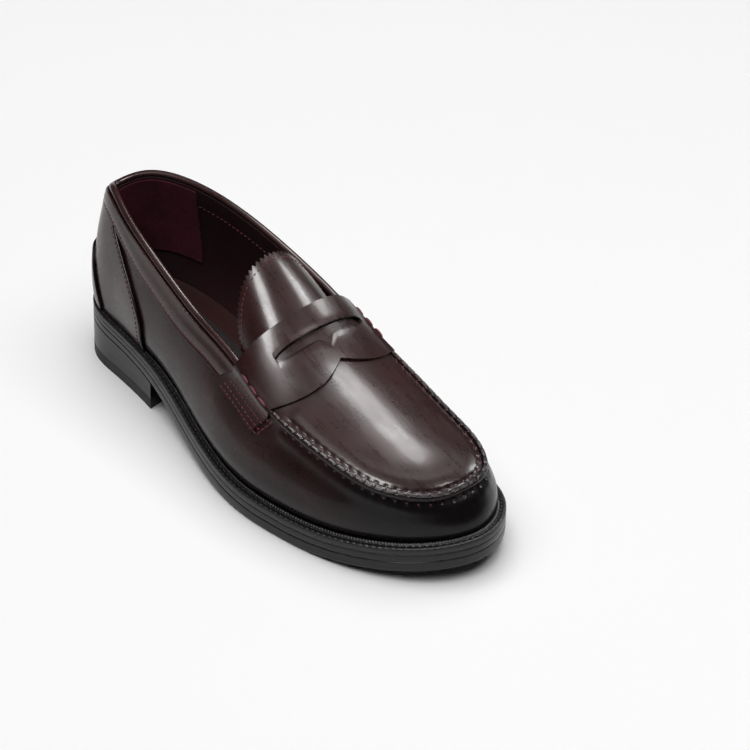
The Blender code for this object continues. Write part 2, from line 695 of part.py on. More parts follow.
def shank_board():
    plan, faces = sole_plan(WELT_REACH + GAP, 0.0, CORK_REAR - SPACE, rows=20)
    low = shifted(level(OUTSOLE_SHARE + MIDSOLE_SHARE), 2.0 * GAP)
    return slab("shank_board", plan, shifted(welt_top, -SHANK - GAP), low, faces)


def steel_shank():
    """Springy steel strip under the arch of the foot."""
    stations = np.linspace(*SHANK_RUN, 20)
    across = np.linspace(-SHANK_HALF, SHANK_HALF, 3)
    middle = profile(SOLE_MIDDLE, stations)
    plan = np.stack([middle[:, None] + across, np.repeat(stations[:, None], 3, axis=1)], axis=2)
    low = shifted(welt_top, -SHANK)
    return slab("steel_shank", plan.reshape(-1, 2), welt_top, low, grid_faces(len(stations), 3))


def insole_board():
    inset = shifted(welt_inset, LINING_LAYER[1] + GAP)
    plan, faces = sole_plan(inset, 0.0, LENGTH)
    return slab("insole_board", plan, shifted(welt_top, GAP + INSOLE), shifted(welt_top, GAP), faces)


def sock_liner():
    inset = shifted(welt_inset, LINING_LAYER[1] + GAP)
    plan, faces = sole_plan(inset, 0.0, LENGTH)
    low = 2.0 * GAP + INSOLE
    return slab("sock_liner", plan, shifted(welt_top, low + SOCK), shifted(welt_top, low), faces)


def sock_label():
    """Plain label stuck on the sock liner."""
    stations = np.linspace(*LABEL_RUN, 8)
    middle = profile(SOLE_MIDDLE, stations)
    across = np.array([-1.0, 0.0, 1.0]) * LABEL_WIDTH / 2.0
    plan = np.stack([middle[:, None] + across, np.repeat(stations[:, None], 3, axis=1)], axis=2)
    low = 3.0 * GAP + INSOLE + SOCK
    return slab("sock_label", plan.reshape(-1, 2), shifted(welt_top, low + LABEL), shifted(welt_top, low),
                grid_faces(len(stations), 3))


def heel_lift(name, low, high):
    """One layer of the heel block; high None means up to the outsole."""
    plan, faces = sole_plan(0.0, 0.0, HEEL_BREAST, rows=16, columns=7,
                            hollow=BREAST_HOLLOW)
    top = shifted(sole_under, -GAP) if high is None else (lambda station: np.full_like(station, high))
    return slab(name, plan, top, lambda station: np.full_like(station, low), faces)


# --------------------------------------------------------------------------------------
# Build: materials, the list of pieces, and their place in the world
# --------------------------------------------------------------------------------------

# name: colour, roughness, metallic
MATERIALS = {
    "burgundy_leather": ((0.060, 0.018, 0.020, 1.0), 0.25, 0.0),
    "dark_leather": ((0.030, 0.012, 0.014, 1.0), 0.30, 0.0),
    "lining_leather": ((0.090, 0.016, 0.028, 1.0), 0.60, 0.0),
    "suede": ((0.110, 0.018, 0.034, 1.0), 0.95, 0.0),
    "sock_leather": ((0.060, 0.030, 0.026, 1.0), 0.60, 0.0),
    "label_black": ((0.008, 0.008, 0.009, 1.0), 0.45, 0.0),
    "thread": ((0.120, 0.020, 0.035, 1.0), 0.80, 0.0),
    "black_welt": ((0.012, 0.011, 0.011, 1.0), 0.45, 0.0),
    "black_rubber": ((0.010, 0.010, 0.010, 1.0), 0.70, 0.0),
    "fibre_board": ((0.300, 0.210, 0.130, 1.0), 0.90, 0.0),
    "cork": ((0.350, 0.210, 0.110, 1.0), 0.95, 0.0),
    "steel": ((0.500, 0.500, 0.510, 1.0), 0.35, 1.0),
}


def material(name):
    colour, roughness, metallic = MATERIALS[name]
    made = bpy.data.materials.new(name)
    made.use_nodes = True
    shader = made.node_tree.nodes["Principled BSDF"]
    shader.inputs["Base Color"].default_value = colour
    shader.inputs["Roughness"].default_value = roughness
    shader.inputs["Metallic"].default_value = metallic
    made.diffuse_color = colour
    return made


def build_pieces():
    """Every piece with its material name."""
    return (
        (vamp_wall(), "burgundy_leather"),
        (apron_sheet("apron", SEAM_CLEAR, APRON_REAR, WALL_LAYER), "burgundy_leather"),
        (apron_seam(), "dark_leather"),
        (saddle_strap(), "burgundy_leather"),
        (strap_thread("strap_thread_lateral", True), "thread"),
        (strap_thread("strap_thread_medial", False), "thread"),
        (tongue_sheet("tongue", WALL_LAYER, 0.0), "burgundy_leather"),
        (tongue_sheet("tongue_lining", STIFFENER_LAYER, 0.8), "lining_leather"),
        (binding(), "burgundy_leather"),
        (collar_band(), "burgundy_leather"),
        (heel_counter(), "burgundy_leather"),
        (kicker_patch(), "dark_leather"),
        (toe_puff(), "fibre_board"),
        (heel_stiffener(), "fibre_board"),
        (vamp_lining(), "lining_leather"),
        (apron_sheet("apron_lining", 7.0, APRON_REAR + 3.4, STIFFENER_LAYER), "lining_leather"),
        (quarter_lining(), "lining_leather"),
        (heel_grip(), "suede"),
        (welt(), "black_welt"),
        (welt_thread(), "thread"),
        (midsole(), "black_welt"),
        (outsole(), "black_rubber"),
        (cork_filler(), "cork"),
        (shank_board(), "fibre_board"),
        (steel_shank(), "steel"),
        (insole_board(), "fibre_board"),
        (sock_liner(), "sock_leather"),
        (sock_label(), "label_black"),
        (heel_lift("heel_lift_upper", TOP_PIECE + LOWER_LIFT + 2.0 * GAP, None), "black_welt"),
        (heel_lift("heel_lift_lower", TOP_PIECE + GAP, TOP_PIECE + GAP + LOWER_LIFT), "black_welt"),
        (heel_lift("heel_top_piece", 0.0, TOP_PIECE), "black_rubber"),
    )


def rehome(thing, place):
    """Moves a mesh object's origin without moving its surface."""
    thing.data.transform(Matrix.Translation(-place))
    thing.location = place


def centre(pieces):
    """Moves everything so that the shoe's box stands centred on the origin, on the floor."""
    bpy.context.view_layer.update()
    graph = bpy.context.evaluated_depsgraph_get()
    corners = []
    for piece in pieces:
        surface = piece.evaluated_get(graph).to_mesh()
        places = np.array([vertex.co for vertex in surface.vertices])
        corners += [places.min(axis=0), places.max(axis=0)]
    low, high = np.min(corners, axis=0), np.max(corners, axis=0)
    shift = Vector((-(low[0] + high[0]) / 2.0, -(low[1] + high[1]) / 2.0, -low[2]))
    for piece in pieces:
        piece.data.transform(Matrix.Translation(shift))
    return shift


for stale in list(bpy.data.objects):
    bpy.data.objects.remove(stale)
SHOE = bpy.data.collections.new("penny_loafer")
bpy.context.scene.collection.children.link(SHOE)

shoe_pieces = build_pieces()
for piece, slot in shoe_pieces:
    piece.data.materials.append(bpy.data.materials.get(slot) or material(slot))
shift = centre([piece for piece, slot in shoe_pieces])
hinge = Vector(to_world([(0.0, HINGE_STATION, HINGE_HEIGHT)])[0]) + shift
for piece, slot in shoe_pieces:
    if piece.name.startswith("tongue"):
        rehome(piece, hinge)
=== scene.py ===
"""Penny loafer, right shoe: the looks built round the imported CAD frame.

The shoe's surfaces are drawn as in the CAD source, in millimetres of x, station and height, where
"station" means the distance forward from the back of the heel.  The frame's own outsole then gives
the scale and the place of that drawing in the world, in metres.
"""

import bpy
import bmesh
import numpy as np
from mathutils import Matrix, Vector


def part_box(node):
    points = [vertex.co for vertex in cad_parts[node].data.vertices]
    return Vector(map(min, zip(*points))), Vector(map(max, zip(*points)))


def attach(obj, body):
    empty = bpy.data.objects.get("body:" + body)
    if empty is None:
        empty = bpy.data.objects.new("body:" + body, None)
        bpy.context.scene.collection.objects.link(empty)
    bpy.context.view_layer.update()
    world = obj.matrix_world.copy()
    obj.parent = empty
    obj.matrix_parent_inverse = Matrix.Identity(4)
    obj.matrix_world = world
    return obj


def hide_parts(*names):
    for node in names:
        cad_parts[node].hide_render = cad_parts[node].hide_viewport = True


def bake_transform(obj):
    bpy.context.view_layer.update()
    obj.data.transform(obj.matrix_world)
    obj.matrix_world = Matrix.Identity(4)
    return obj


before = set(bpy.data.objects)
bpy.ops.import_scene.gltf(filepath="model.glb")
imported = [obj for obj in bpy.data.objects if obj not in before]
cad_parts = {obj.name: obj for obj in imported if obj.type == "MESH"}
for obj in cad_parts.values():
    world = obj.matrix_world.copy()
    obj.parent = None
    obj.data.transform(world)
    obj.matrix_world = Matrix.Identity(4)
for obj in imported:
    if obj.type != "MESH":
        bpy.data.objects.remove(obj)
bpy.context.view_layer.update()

# --------------------------------------------------------------------------------------
# The drawing of the shoe (millimetres)
# --------------------------------------------------------------------------------------

LENGTH = 302.0
HEEL_BREAST = 76.0
HEEL_BLEND = (50.0, 110.0)
EDGE_HEEL = 11.0
EDGE_FORE = 15.0
WELT_HEEL = 4.3
WELT_FORE = 6.0
GAP = 0.3
LEATHER = 1.3
LINING = 0.8
LINING_DEPTH = 2.9            # outer face of the lining, inward from the outer face of the wall
GRIP_DEPTH = 4.1
OVERLAY = 1.7                 # how far bands and straps sewn on the wall stand proud of it
PATCH = 3.4
OUTSOLE_SHARE = 0.42
MIDSOLE_SHARE = 0.28

# Sole edge, heel to toe: station, lateral x, medial x.
SOLE_WIDTHS = (
    (12.0, -13.8, 29.8),
    (38.0, -21.0, 40.7),
    (75.0, -27.4, 42.4),
    (115.0, -38.6, 41.6),
    (160.0, -51.8, 47.4),
    (182.0, -54.4, 51.8),
    (205.0, -53.6, 54.4),
    (240.0, -48.2, 53.6),
    (270.0, -36.2, 46.0),
    (288.0, -22.6, 34.8),
)
HEEL_BACK_X = 8.4
TOE_TIP_X = 6.0

# Upper edge of the side wall, in the same order.  Each side: x, station, height.
WALL_TOP_LATERAL = (
    (0.5, 13.5, 100.5),
    (-8.7, 35.1, 97.9),
    (-17.1, 70.0, 88.6),
    (-23.8, 110.8, 77.1),
    (-31.8, 155.0, 69.9),
    (-37.4, 181.2, 63.4),
    (-38.7, 204.8, 58.8),
    (-36.3, 239.4, 52.6),
    (-28.5, 264.5, 48.6),
    (-15.5, 278.5, 46.4),
)
WALL_TOP_MEDIAL = (
    (24.0, 13.5, 102.3),
    (36.0, 36.0, 103.0),
    (42.6, 73.0, 98.0),
    (44.8, 115.0, 88.0),
    (44.6, 159.0, 74.5),
    (42.6, 182.0, 68.0),
    (40.4, 206.0, 63.0),
    (37.3, 241.0, 55.0),
    (34.0, 266.0, 49.2),
    (25.5, 280.0, 47.0),
)
WALL_TOP_BACK = (9.7, 5.0, 97.5)
WALL_TOP_TOE = (6.0, 285.0, 45.8)

# Underside of the outsole: station, height above the floor.
SOLE_RISE = ((0.0, 24.3), (40.0, 21.0), (76.0, 17.0), (110.0, 8.5), (140.0, 3.4), (170.0, 0.6),
             (188.0, 0.0), (212.0, 0.0), (232.0, 1.0), (265.0, 4.5), (302.0, 10.0))

# Centre line of the apron and tongue: station, height.
CENTRE_RISE = ((286.0, 46.0), (270.0, 53.5), (250.0, 59.5), (230.0, 65.0), (210.0, 70.5),
               (190.0, 77.0), (175.0, 84.0), (160.0, 93.0), (134.0, 111.0), (110.0, 121.0))

# Swell of the wall: just above the welt, as a share of the wall's height, and at its shoulder, as a
# share of how far the top stands in from the welt.  Station, share.
LOW_SWELL = ((0.0, 0.05), (30.0, 0.07), (70.0, 0.17), (110.0, 0.22), (200.0, 0.24), (260.0, 0.21),
             (302.0, 0.11))
HIGH_SWELL = ((0.0, 0.60), (30.0, 0.55), (80.0, 0.30), (110.0, 0.25), (250.0, 0.28), (302.0, 0.50))
SHOULDER = 1.2                # least swell of the shoulder
LOW_REACH = 0.34              # height of the lower swell, as a share of the wall's height
HIGH_REACH = 0.28             # distance of the shoulder below the top, as the same share
LAYER_DROP = 0.7              # how far inner layers drop along the apron, per millimetre of depth
LAYER_DROP_RUN = (140.0, 165.0)


def spline(knots, values):
    """Smooth curve (natural cubic spline) through values at the knots, as a function."""
    knots = np.asarray(knots, float)
    values = np.asarray(values, float)
    count = len(knots)
    steps = np.diff(knots)
    slopes = np.diff(values, axis=0) / steps[:, None]
    system = np.eye(count)
    right = np.zeros_like(values)
    for i in range(1, count - 1):
        system[i, i - 1:i + 2] = steps[i - 1], 2.0 * (steps[i - 1] + steps[i]), steps[i]
        right[i] = 6.0 * (slopes[i] - slopes[i - 1])
    bend = np.linalg.solve(system, right)

    def read(at):
        at = np.clip(np.atleast_1d(np.asarray(at, float)), knots[0], knots[-1])
        cell = np.clip(np.searchsorted(knots, at, side="right") - 1, 0, count - 2)
        left = (at - knots[cell])[:, None]
        step = steps[cell][:, None]
        rest = step - left
        cubic = (bend[cell] * rest ** 3 + bend[cell + 1] * left ** 3) / (6.0 * step)
        start = (values[cell] / step - bend[cell] * step / 6.0) * rest
        end = (values[cell + 1] / step - bend[cell + 1] * step / 6.0) * left
        return cubic + start + end

    return read


def profile(table):
    """Smooth function of the station through a table of (station, value) pairs."""
    table = np.array(sorted(table))
    curve = spline(table[:, 0], table[:, 1:])
    return lambda station: curve(station)[:, 0]


def blend(start, end, value):
    """0 before start, 1 after end, eased between."""
    part = np.clip((np.asarray(value, float) - start) / (end - start), 0.0, 1.0)
    return part * part * (3.0 - 2.0 * part)


def hump(value, middle, width):
    """1 at the middle, falling away smoothly over the width on each side."""
    return np.exp(-((np.asarray(value, float) - middle) / width) ** 2)


def ring_curves():
    """Closed curves of the sole edge and of the wall top, as functions of u; u = 0 and 1 at the heel back."""
    sole = [(HEEL_BACK_X, 0.0)]
    sole += [(lateral, station) for station, lateral, _ in SOLE_WIDTHS]
    sole += [(TOE_TIP_X, LENGTH)]
    sole += [(medial, station) for station, _, medial in reversed(SOLE_WIDTHS)]
    top = [WALL_TOP_BACK, *WALL_TOP_LATERAL, WALL_TOP_TOE, *reversed(WALL_TOP_MEDIAL)]
    sole, top = np.array(sole), np.array(top)
    chords = np.linalg.norm(np.roll(sole, -1, axis=0) - sole, axis=1)
    knots = np.concatenate([[0.0], np.cumsum(chords)]) / chords.sum()
    count, wrap = len(sole), 4
    order = np.arange(-wrap, count + wrap + 1)
    wrapped = np.array([knots[i % count] + i // count for i in order])
    curves = [spline(wrapped, points[order % count]) for points in (sole, top)]
    closed = [lambda u, curve=curve: curve(np.mod(np.asarray(u, float), 1.0)) for curve in curves]
    return closed[0], closed[1], knots[len(SOLE_WIDTHS) + 1]


SOLE, TOP, TOE_U = ring_curves()


def plan_outward(curve, u):
    """Outward direction, in plan, of a closed curve."""
    small = 1e-4
    run = (curve(np.asarray(u) + small) - curve(np.asarray(u) - small))[:, :2]
    run /= np.linalg.norm(run, axis=1)[:, None]
    return np.column_stack([-run[:, 1], run[:, 0]])


def edge_thickness(station):
    """Outsole, midsole and welt together."""
    return EDGE_HEEL + (EDGE_FORE - EDGE_HEEL) * blend(*HEEL_BLEND, station)


def sole_edge(u, inset=0.0):
    """Plan point (x, station) of the sole edge, moved inward by inset."""
    return SOLE(u) - plan_outward(SOLE, u) * np.reshape(inset, (-1, 1))


sole_rise = profile(SOLE_RISE)
centre_rise = profile(CENTRE_RISE)
low_swell = profile(LOW_SWELL)
high_swell = profile(HIGH_SWELL)


def sole_under(station):
    return np.maximum(sole_rise(station), 0.0)


def welt_top(station):
    return sole_under(station) + edge_thickness(station)


def welt_inset(station):
    return WELT_HEEL + (WELT_FORE - WELT_HEEL) * blend(*HEEL_BLEND, station)


def feather(u, depth=0.0):
    """Foot of the side wall on the welt; depth moves it inward."""
    plan = sole_edge(u, welt_inset(SOLE(u)[:, 1]) + depth)
    return np.column_stack([plan, welt_top(plan[:, 1]) + GAP])


def wall_top(u, depth=0.0):
    """Upper edge of the side wall; depth moves it inward and, along the apron, down."""
    point = TOP(u)
    drop = LAYER_DROP * blend(*LAYER_DROP_RUN, point[:, 1])
    inward = -plan_outward(TOP, u)
    return point + np.column_stack([inward, -drop]) * np.reshape(depth, (-1, 1))


def wall_guides(u, depth=0.0):
    """The four points that shape the side wall at each u, foot to top (a Bezier curve)."""
    foot = feather(u, depth)
    top = wall_top(u, depth)
    rise = (top[:, 2] - foot[:, 2])[:, None]
    out_foot = np.column_stack([plan_outward(SOLE, u), np.zeros(len(u))])
    out_top = np.column_stack([plan_outward(TOP, u), np.zeros(len(u))])
    inset = np.sum((foot - top) * out_top, axis=1)[:, None]
    swell = low_swell(foot[:, 1])[:, None] * rise
    low = foot + out_foot * swell + np.array([0.0, 0.0, LOW_REACH]) * rise
    shoulder = SHOULDER + high_swell(foot[:, 1])[:, None] * np.maximum(inset, 0.0)
    high = top + out_top * shoulder - np.array([0.0, 0.0, HIGH_REACH]) * rise
    return foot, low, high, top


def bezier(guides, v):
    foot, low, high, top = guides
    v = np.reshape(np.broadcast_to(v, (len(foot),)), (-1, 1))
    w = 1.0 - v
    return foot * w ** 3 + low * 3 * w * w * v + high * 3 * w * v * v + top * v ** 3


def wall(u, v, depth=0.0):
    """Point of the side wall: v = 0 at the welt, 1 at the top; depth counts inward."""
    return bezier(wall_guides(np.asarray(u, float), depth), v)


def ring_u_at(curve, station, lateral):
    """Ring parameter where one side of a ring passes a station."""
    u = np.linspace(0.0, TOE_U, 400) if lateral else np.linspace(1.0, TOE_U, 400)
    return np.interp(station, curve(u)[:, 1], u)


def centre_line(station, depth):
    """Height of the apron's middle at a layer depth, counted square to its slope."""
    slope = centre_rise(station + 0.5) - centre_rise(station - 0.5)
    return centre_rise(station) - depth * np.sqrt(1.0 + slope ** 2)


def apron(station, across, depth=0.0):
    """Point of the apron arch: across runs -1 at the lateral seam to 1 at the medial."""
    station = np.asarray(station, float)
    across = np.reshape(np.broadcast_to(across, station.shape), (-1, 1))
    lateral = wall_top(ring_u_at(TOP, station, True), depth)
    medial = wall_top(ring_u_at(TOP, station, False), depth)
    chord = lateral + (medial - lateral) * (across + 1.0) / 2.0
    centre = centre_line(station, depth)[:, None]
    crown = np.maximum(centre - (lateral[:, 2:] + medial[:, 2:]) / 2.0, 0.0)
    power = 1.0 - 0.25 * blend(200.0, 140.0, station)[:, None]
    arch = crown * np.maximum(1.0 - across * across, 0.0) ** power
    return chord + arch * np.array([0.0, 0.0, 1.0])


def wall_v(u, below):
    """Wall parameter v at a distance below the wall top, measured down the leather."""
    samples = np.linspace(1.0, 0.0, 65)
    guides = wall_guides(u)
    points = np.stack([bezier(guides, v) for v in samples])
    lengths = np.linalg.norm(np.diff(points, axis=0), axis=2)
    run = np.vstack([np.zeros(len(u)), np.cumsum(lengths, axis=0)])
    below = np.broadcast_to(below, (len(u),))
    return np.array([np.interp(below[i], run[:, i], samples) for i in range(len(u))])


def wall_below(u, below, depth):
    """Point of the wall at a distance below its top, at a layer depth."""
    u = np.asarray(u, float)
    return wall(u, wall_v(u, below), depth)


# --------------------------------------------------------------------------------------
# From the drawing to the frame's world
# --------------------------------------------------------------------------------------

def drawing_to_world():
    """Scale and shift that put the drawn sole edge on the frame's outsole."""
    low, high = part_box("outsole")
    edge = SOLE(np.linspace(0.0, 1.0, 2000))
    scale = (high.y - low.y) / LENGTH
    middle = (edge[:, 0].min() + edge[:, 0].max()) / 2.0
    return scale, (low.x + high.x) / 2.0 - middle * scale, (low.y + high.y) / 2.0


SCALE, SHIFT_X, SHIFT_Y = drawing_to_world()


def to_world(points):
    """Drawing (x, station, height) in millimetres to world metres."""
    points = np.asarray(points, float)
    x = points[..., 0] * SCALE + SHIFT_X
    y = (LENGTH / 2.0 - points[..., 1]) * SCALE + SHIFT_Y
    return np.stack([x, y, points[..., 2] * SCALE], axis=-1)


def world_direction(vectors):
    """Drawing directions (x, station, height) as world directions."""
    return to_world(vectors) - to_world(np.zeros((1, 3)))


def unit(vectors):
    return vectors / np.linalg.norm(vectors, axis=-1, keepdims=True)


MM = SCALE                    # one drawing millimetre, in world metres


# --------------------------------------------------------------------------------------
# Mesh helpers.  Grids are arrays of world points: rows, columns, xyz.
# --------------------------------------------------------------------------------------

def grid_faces(rows, columns, closed=False):
    """Quads of a rows x columns grid of points; closed joins the last row to the first."""
    i, j = np.meshgrid(np.arange(rows if closed else rows - 1), np.arange(columns - 1), indexing="ij")
    a = (i * columns + j).ravel()
    b = (((i + 1) % rows) * columns + j).ravel()
    return np.column_stack([a, b, b + 1, a + 1]).tolist()


def grid_normals(grid, closed=False):
    """Unit normals of a grid, on the side its faces look."""
    if closed:
        along = np.roll(grid, -1, axis=0) - np.roll(grid, 1, axis=0)
    else:
        along = np.gradient(grid, axis=0)
    across = np.gradient(grid, axis=1)
    normal = np.cross(along, across)
    return normal / np.maximum(np.linalg.norm(normal, axis=2, keepdims=True), 1e-12)


def raised(grid, height, closed=False):
    """The grid moved along its normals by height, in millimetres."""
    return grid + grid_normals(grid, closed) * np.asarray(height)[..., None] * MM


def add_mesh(name, points, faces, burnish_and_shade=None, weld=0.01):
    """Smooth mesh object, with a point layer of how dark each point is painted, 0 to 1: burnished polish and,
    in places, painted shade.
    """
    mesh = bpy.data.meshes.new(name)
    mesh.from_pydata(np.reshape(points, (-1, 3)).tolist(), [], faces)
    if burnish_and_shade is not None:
        layer = mesh.attributes.new("burnish_and_shade", "FLOAT", "POINT")
        layer.data.foreach_set("value", np.clip(np.ravel(burnish_and_shade), 0.0, 1.0).astype(np.float32))
    work = bmesh.new()
    work.from_mesh(mesh)
    bmesh.ops.remove_doubles(work, verts=work.verts, dist=weld * MM)
    bmesh.ops.recalc_face_normals(work, faces=work.faces)
    work.to_mesh(mesh)
    work.free()
    mesh.shade_smooth()
    piece = bpy.data.objects.new(name, mesh)
    bpy.context.scene.collection.objects.link(piece)
    return piece


def facing_in(grid):
    """True if a grid's faces look towards the inside of the shoe."""
    middle = grid.reshape(-1, 3).mean(axis=0)
    core = np.array([middle[0], middle[1], middle[2] * 0.3])
    return float(np.sum(grid_normals(grid) * (grid - core))) < 0.0


def facing_out(grid):
    """The grid, turned over if its faces look towards the inside of the shoe."""
    return grid[:, ::-1] if facing_in(grid) else grid


def facing_up(grid):
    """The grid, turned over if its faces look down."""
    return grid[:, ::-1] if grid_normals(grid)[..., 2].mean() < 0.0 else grid


def sheet_faces(faces, count):
    """Faces of a sheet, of its back (the same points, count further on) and of the rim between."""
    edges = {(face[i - 1], face[i]) for face in faces for i in range(4)}
    rim = [(a, b) for a, b in sorted(edges) if (b, a) not in edges]
    back = [tuple(i + count for i in reversed(face)) for face in faces]
    return list(faces) + back + [(b, a, a + count, b + count) for a, b in rim]


def hide_sheet(name, grid, thickness, burnish_and_shade=None, closed=False, faces=None, edge=0.25):
    """Leather: the outer face given as a grid, thickened inward, its cut edges softly rounded."""
    rows, columns = grid.shape[:2]
    outer = grid.reshape(-1, 3)
    inner = (grid - grid_normals(grid, closed) * thickness * MM).reshape(-1, 3)
    faces = grid_faces(rows, columns, closed) if faces is None else faces
    solid = sheet_faces(faces, len(outer))
    dark = np.zeros((rows, columns)) if burnish_and_shade is None else np.broadcast_to(burnish_and_shade, (rows, columns))
    piece = add_mesh(name, np.vstack([outer, inner]), solid, np.concatenate([dark.ravel()] * 2))
    soften(piece, edge)
    return piece


def soften(piece, width, segments=2, angle=0.8):
    """Rounds the sharp edges of a piece; width in millimetres."""
    bevel = piece.modifiers.new("soft_edges", "BEVEL")
    bevel.width = width * MM
    bevel.segments = segments
    bevel.limit_method = "ANGLE"
    bevel.angle_limit = angle
    bevel.harden_normals = True


def frames(path, guide, closed=False):
    """Tangent, side and up directions along a path, with up near the guide directions."""
    if closed:
        run = np.roll(path, -1, axis=0) - np.roll(path, 1, axis=0)
    else:
        run = np.gradient(path, axis=0)
    run /= np.linalg.norm(run, axis=1)[:, None]
    up = guide - run * np.sum(guide * run, axis=1)[:, None]
    up /= np.linalg.norm(up, axis=1)[:, None]
    return run, np.cross(run, up), up


def swept(name, path, guide, section, closed=False, burnish_and_shade=None):
    """Section (side, up pairs for each path point, in millimetres) carried along a path."""
    _, side, up = frames(path, guide, closed)
    section = np.broadcast_to(section, (len(path), *np.shape(section)[-2:]))
    grid = path[:, None] + side[:, None] * section[..., :1] * MM + up[:, None] * section[..., 1:] * MM
    rows, columns = grid.shape[:2]
    looped = np.concatenate([grid, grid[:, :1]], axis=1)
    faces = grid_faces(rows, columns + 1, closed)
    points = looped.reshape(-1, 3)
    if not closed:
        faces.append(tuple(range(columns)))
        last = (rows - 1) * (columns + 1)
        faces.append(tuple(range(last + columns - 1, last - 1, -1)))
    dark = None
    if burnish_and_shade is not None:
        dark = np.repeat(np.broadcast_to(burnish_and_shade, (rows,)), columns + 1)
    return add_mesh(name, points, faces, dark)


def circle(radius_side, radius_up, count=16, power=1.0):
    """Closed rounded section; power under 1 makes it boxier."""
    turn = np.linspace(0.0, 2.0 * np.pi, count, endpoint=False)
    side = np.sign(np.cos(turn)) * np.abs(np.cos(turn)) ** power * radius_side
    up = np.sign(np.sin(turn)) * np.abs(np.sin(turn)) ** power * radius_up
    return np.column_stack([side, up])


def run_length(path):
    """Distance along a path of world points, in millimetres."""
    steps = np.linalg.norm(np.diff(path, axis=0), axis=1) / MM
    return np.concatenate([[0.0], np.cumsum(steps)])


def read_along(path, distance):
    """Points of a path at distances along it, in millimetres; distance may be any array."""
    run = run_length(path)
    return np.stack([np.interp(distance, run, path[:, k]) for k in range(3)], axis=-1)


def outward_of(surface, p, q, small=(0.002, 0.05)):
    """World normals of surface(p, q), pointing away from the inside of the shoe."""
    first = to_world(surface(p + small[0], q)) - to_world(surface(p - small[0], q))
    second = to_world(surface(p, q + small[1])) - to_world(surface(p, q - small[1]))
    normal = np.cross(first, second)
    normal /= np.linalg.norm(normal, axis=1)[:, None]
    points = surface(p, q)
    core = to_world(np.column_stack([np.full(len(points), 2.0), points[:, 1], np.full(len(points), 38.0)]))
    facing = np.sign(np.sum(normal * (to_world(points) - core), axis=1))
    return normal * facing[:, None]


def thread_mesh(name, middles, ups, radius):
    """Short rounded lengths of thread, all one mesh: their middle lines and the way up at each point."""
    count, rings, _ = middles.shape
    sides = 6
    heading = np.gradient(middles, axis=1)
    side = np.cross(heading, ups)
    side /= np.linalg.norm(side, axis=2, keepdims=True)
    part = np.linspace(0.0, 1.0, rings)
    thick = radius * (0.55 + 0.45 * np.sin(np.pi * part) ** 0.5) * MM
    turn = np.linspace(0.0, 2.0 * np.pi, sides, endpoint=False)
    round_it = side[:, :, None] * np.cos(turn)[:, None] + ups[:, :, None] * np.sin(turn)[:, None]
    loops = middles[:, :, None] + round_it * thick[:, None, None]
    faces = []
    for k in range(count):
        base = k * rings * sides
        for i in range(rings - 1):
            for j in range(sides):
                a = base + i * sides + j
                b = base + i * sides + (j + 1) % sides
                faces.append((a, b, b + sides, a + sides))
        faces.append(tuple(base + j for j in reversed(range(sides))))
        faces.append(tuple(base + (rings - 1) * sides + j for j in range(sides)))
    return add_mesh(name, loops, faces, weld=0.0)


def stitch_row(name, rows, pitch, length, radius, lift=0.2, phase=0.5):
    """Sewn thread: a short rounded stitch every pitch along each (path, normals) row, all one mesh."""
    part = np.linspace(0.0, 1.0, 7)
    arch = np.sin(np.pi * part) ** 0.6
    middles, ups = [], []
    for path, normals in rows:
        run = run_length(path)
        starts = np.arange(pitch * phase - length / 2.0, run[-1] - length, pitch)
        starts = starts[starts > 0.0]
        at = starts[:, None] + length * part
        up = np.stack([np.interp(at, run, normals[:, k]) for k in range(3)], axis=-1)
        up /= np.linalg.norm(up, axis=2, keepdims=True)
        middles.append(read_along(path, at) + up * (-radius + (radius + lift) * arch)[:, None] * MM)
        ups.append(up)
    return thread_mesh(name, np.concatenate(middles), np.concatenate(ups), radius)


# --------------------------------------------------------------------------------------
# Procedural materials
# --------------------------------------------------------------------------------------

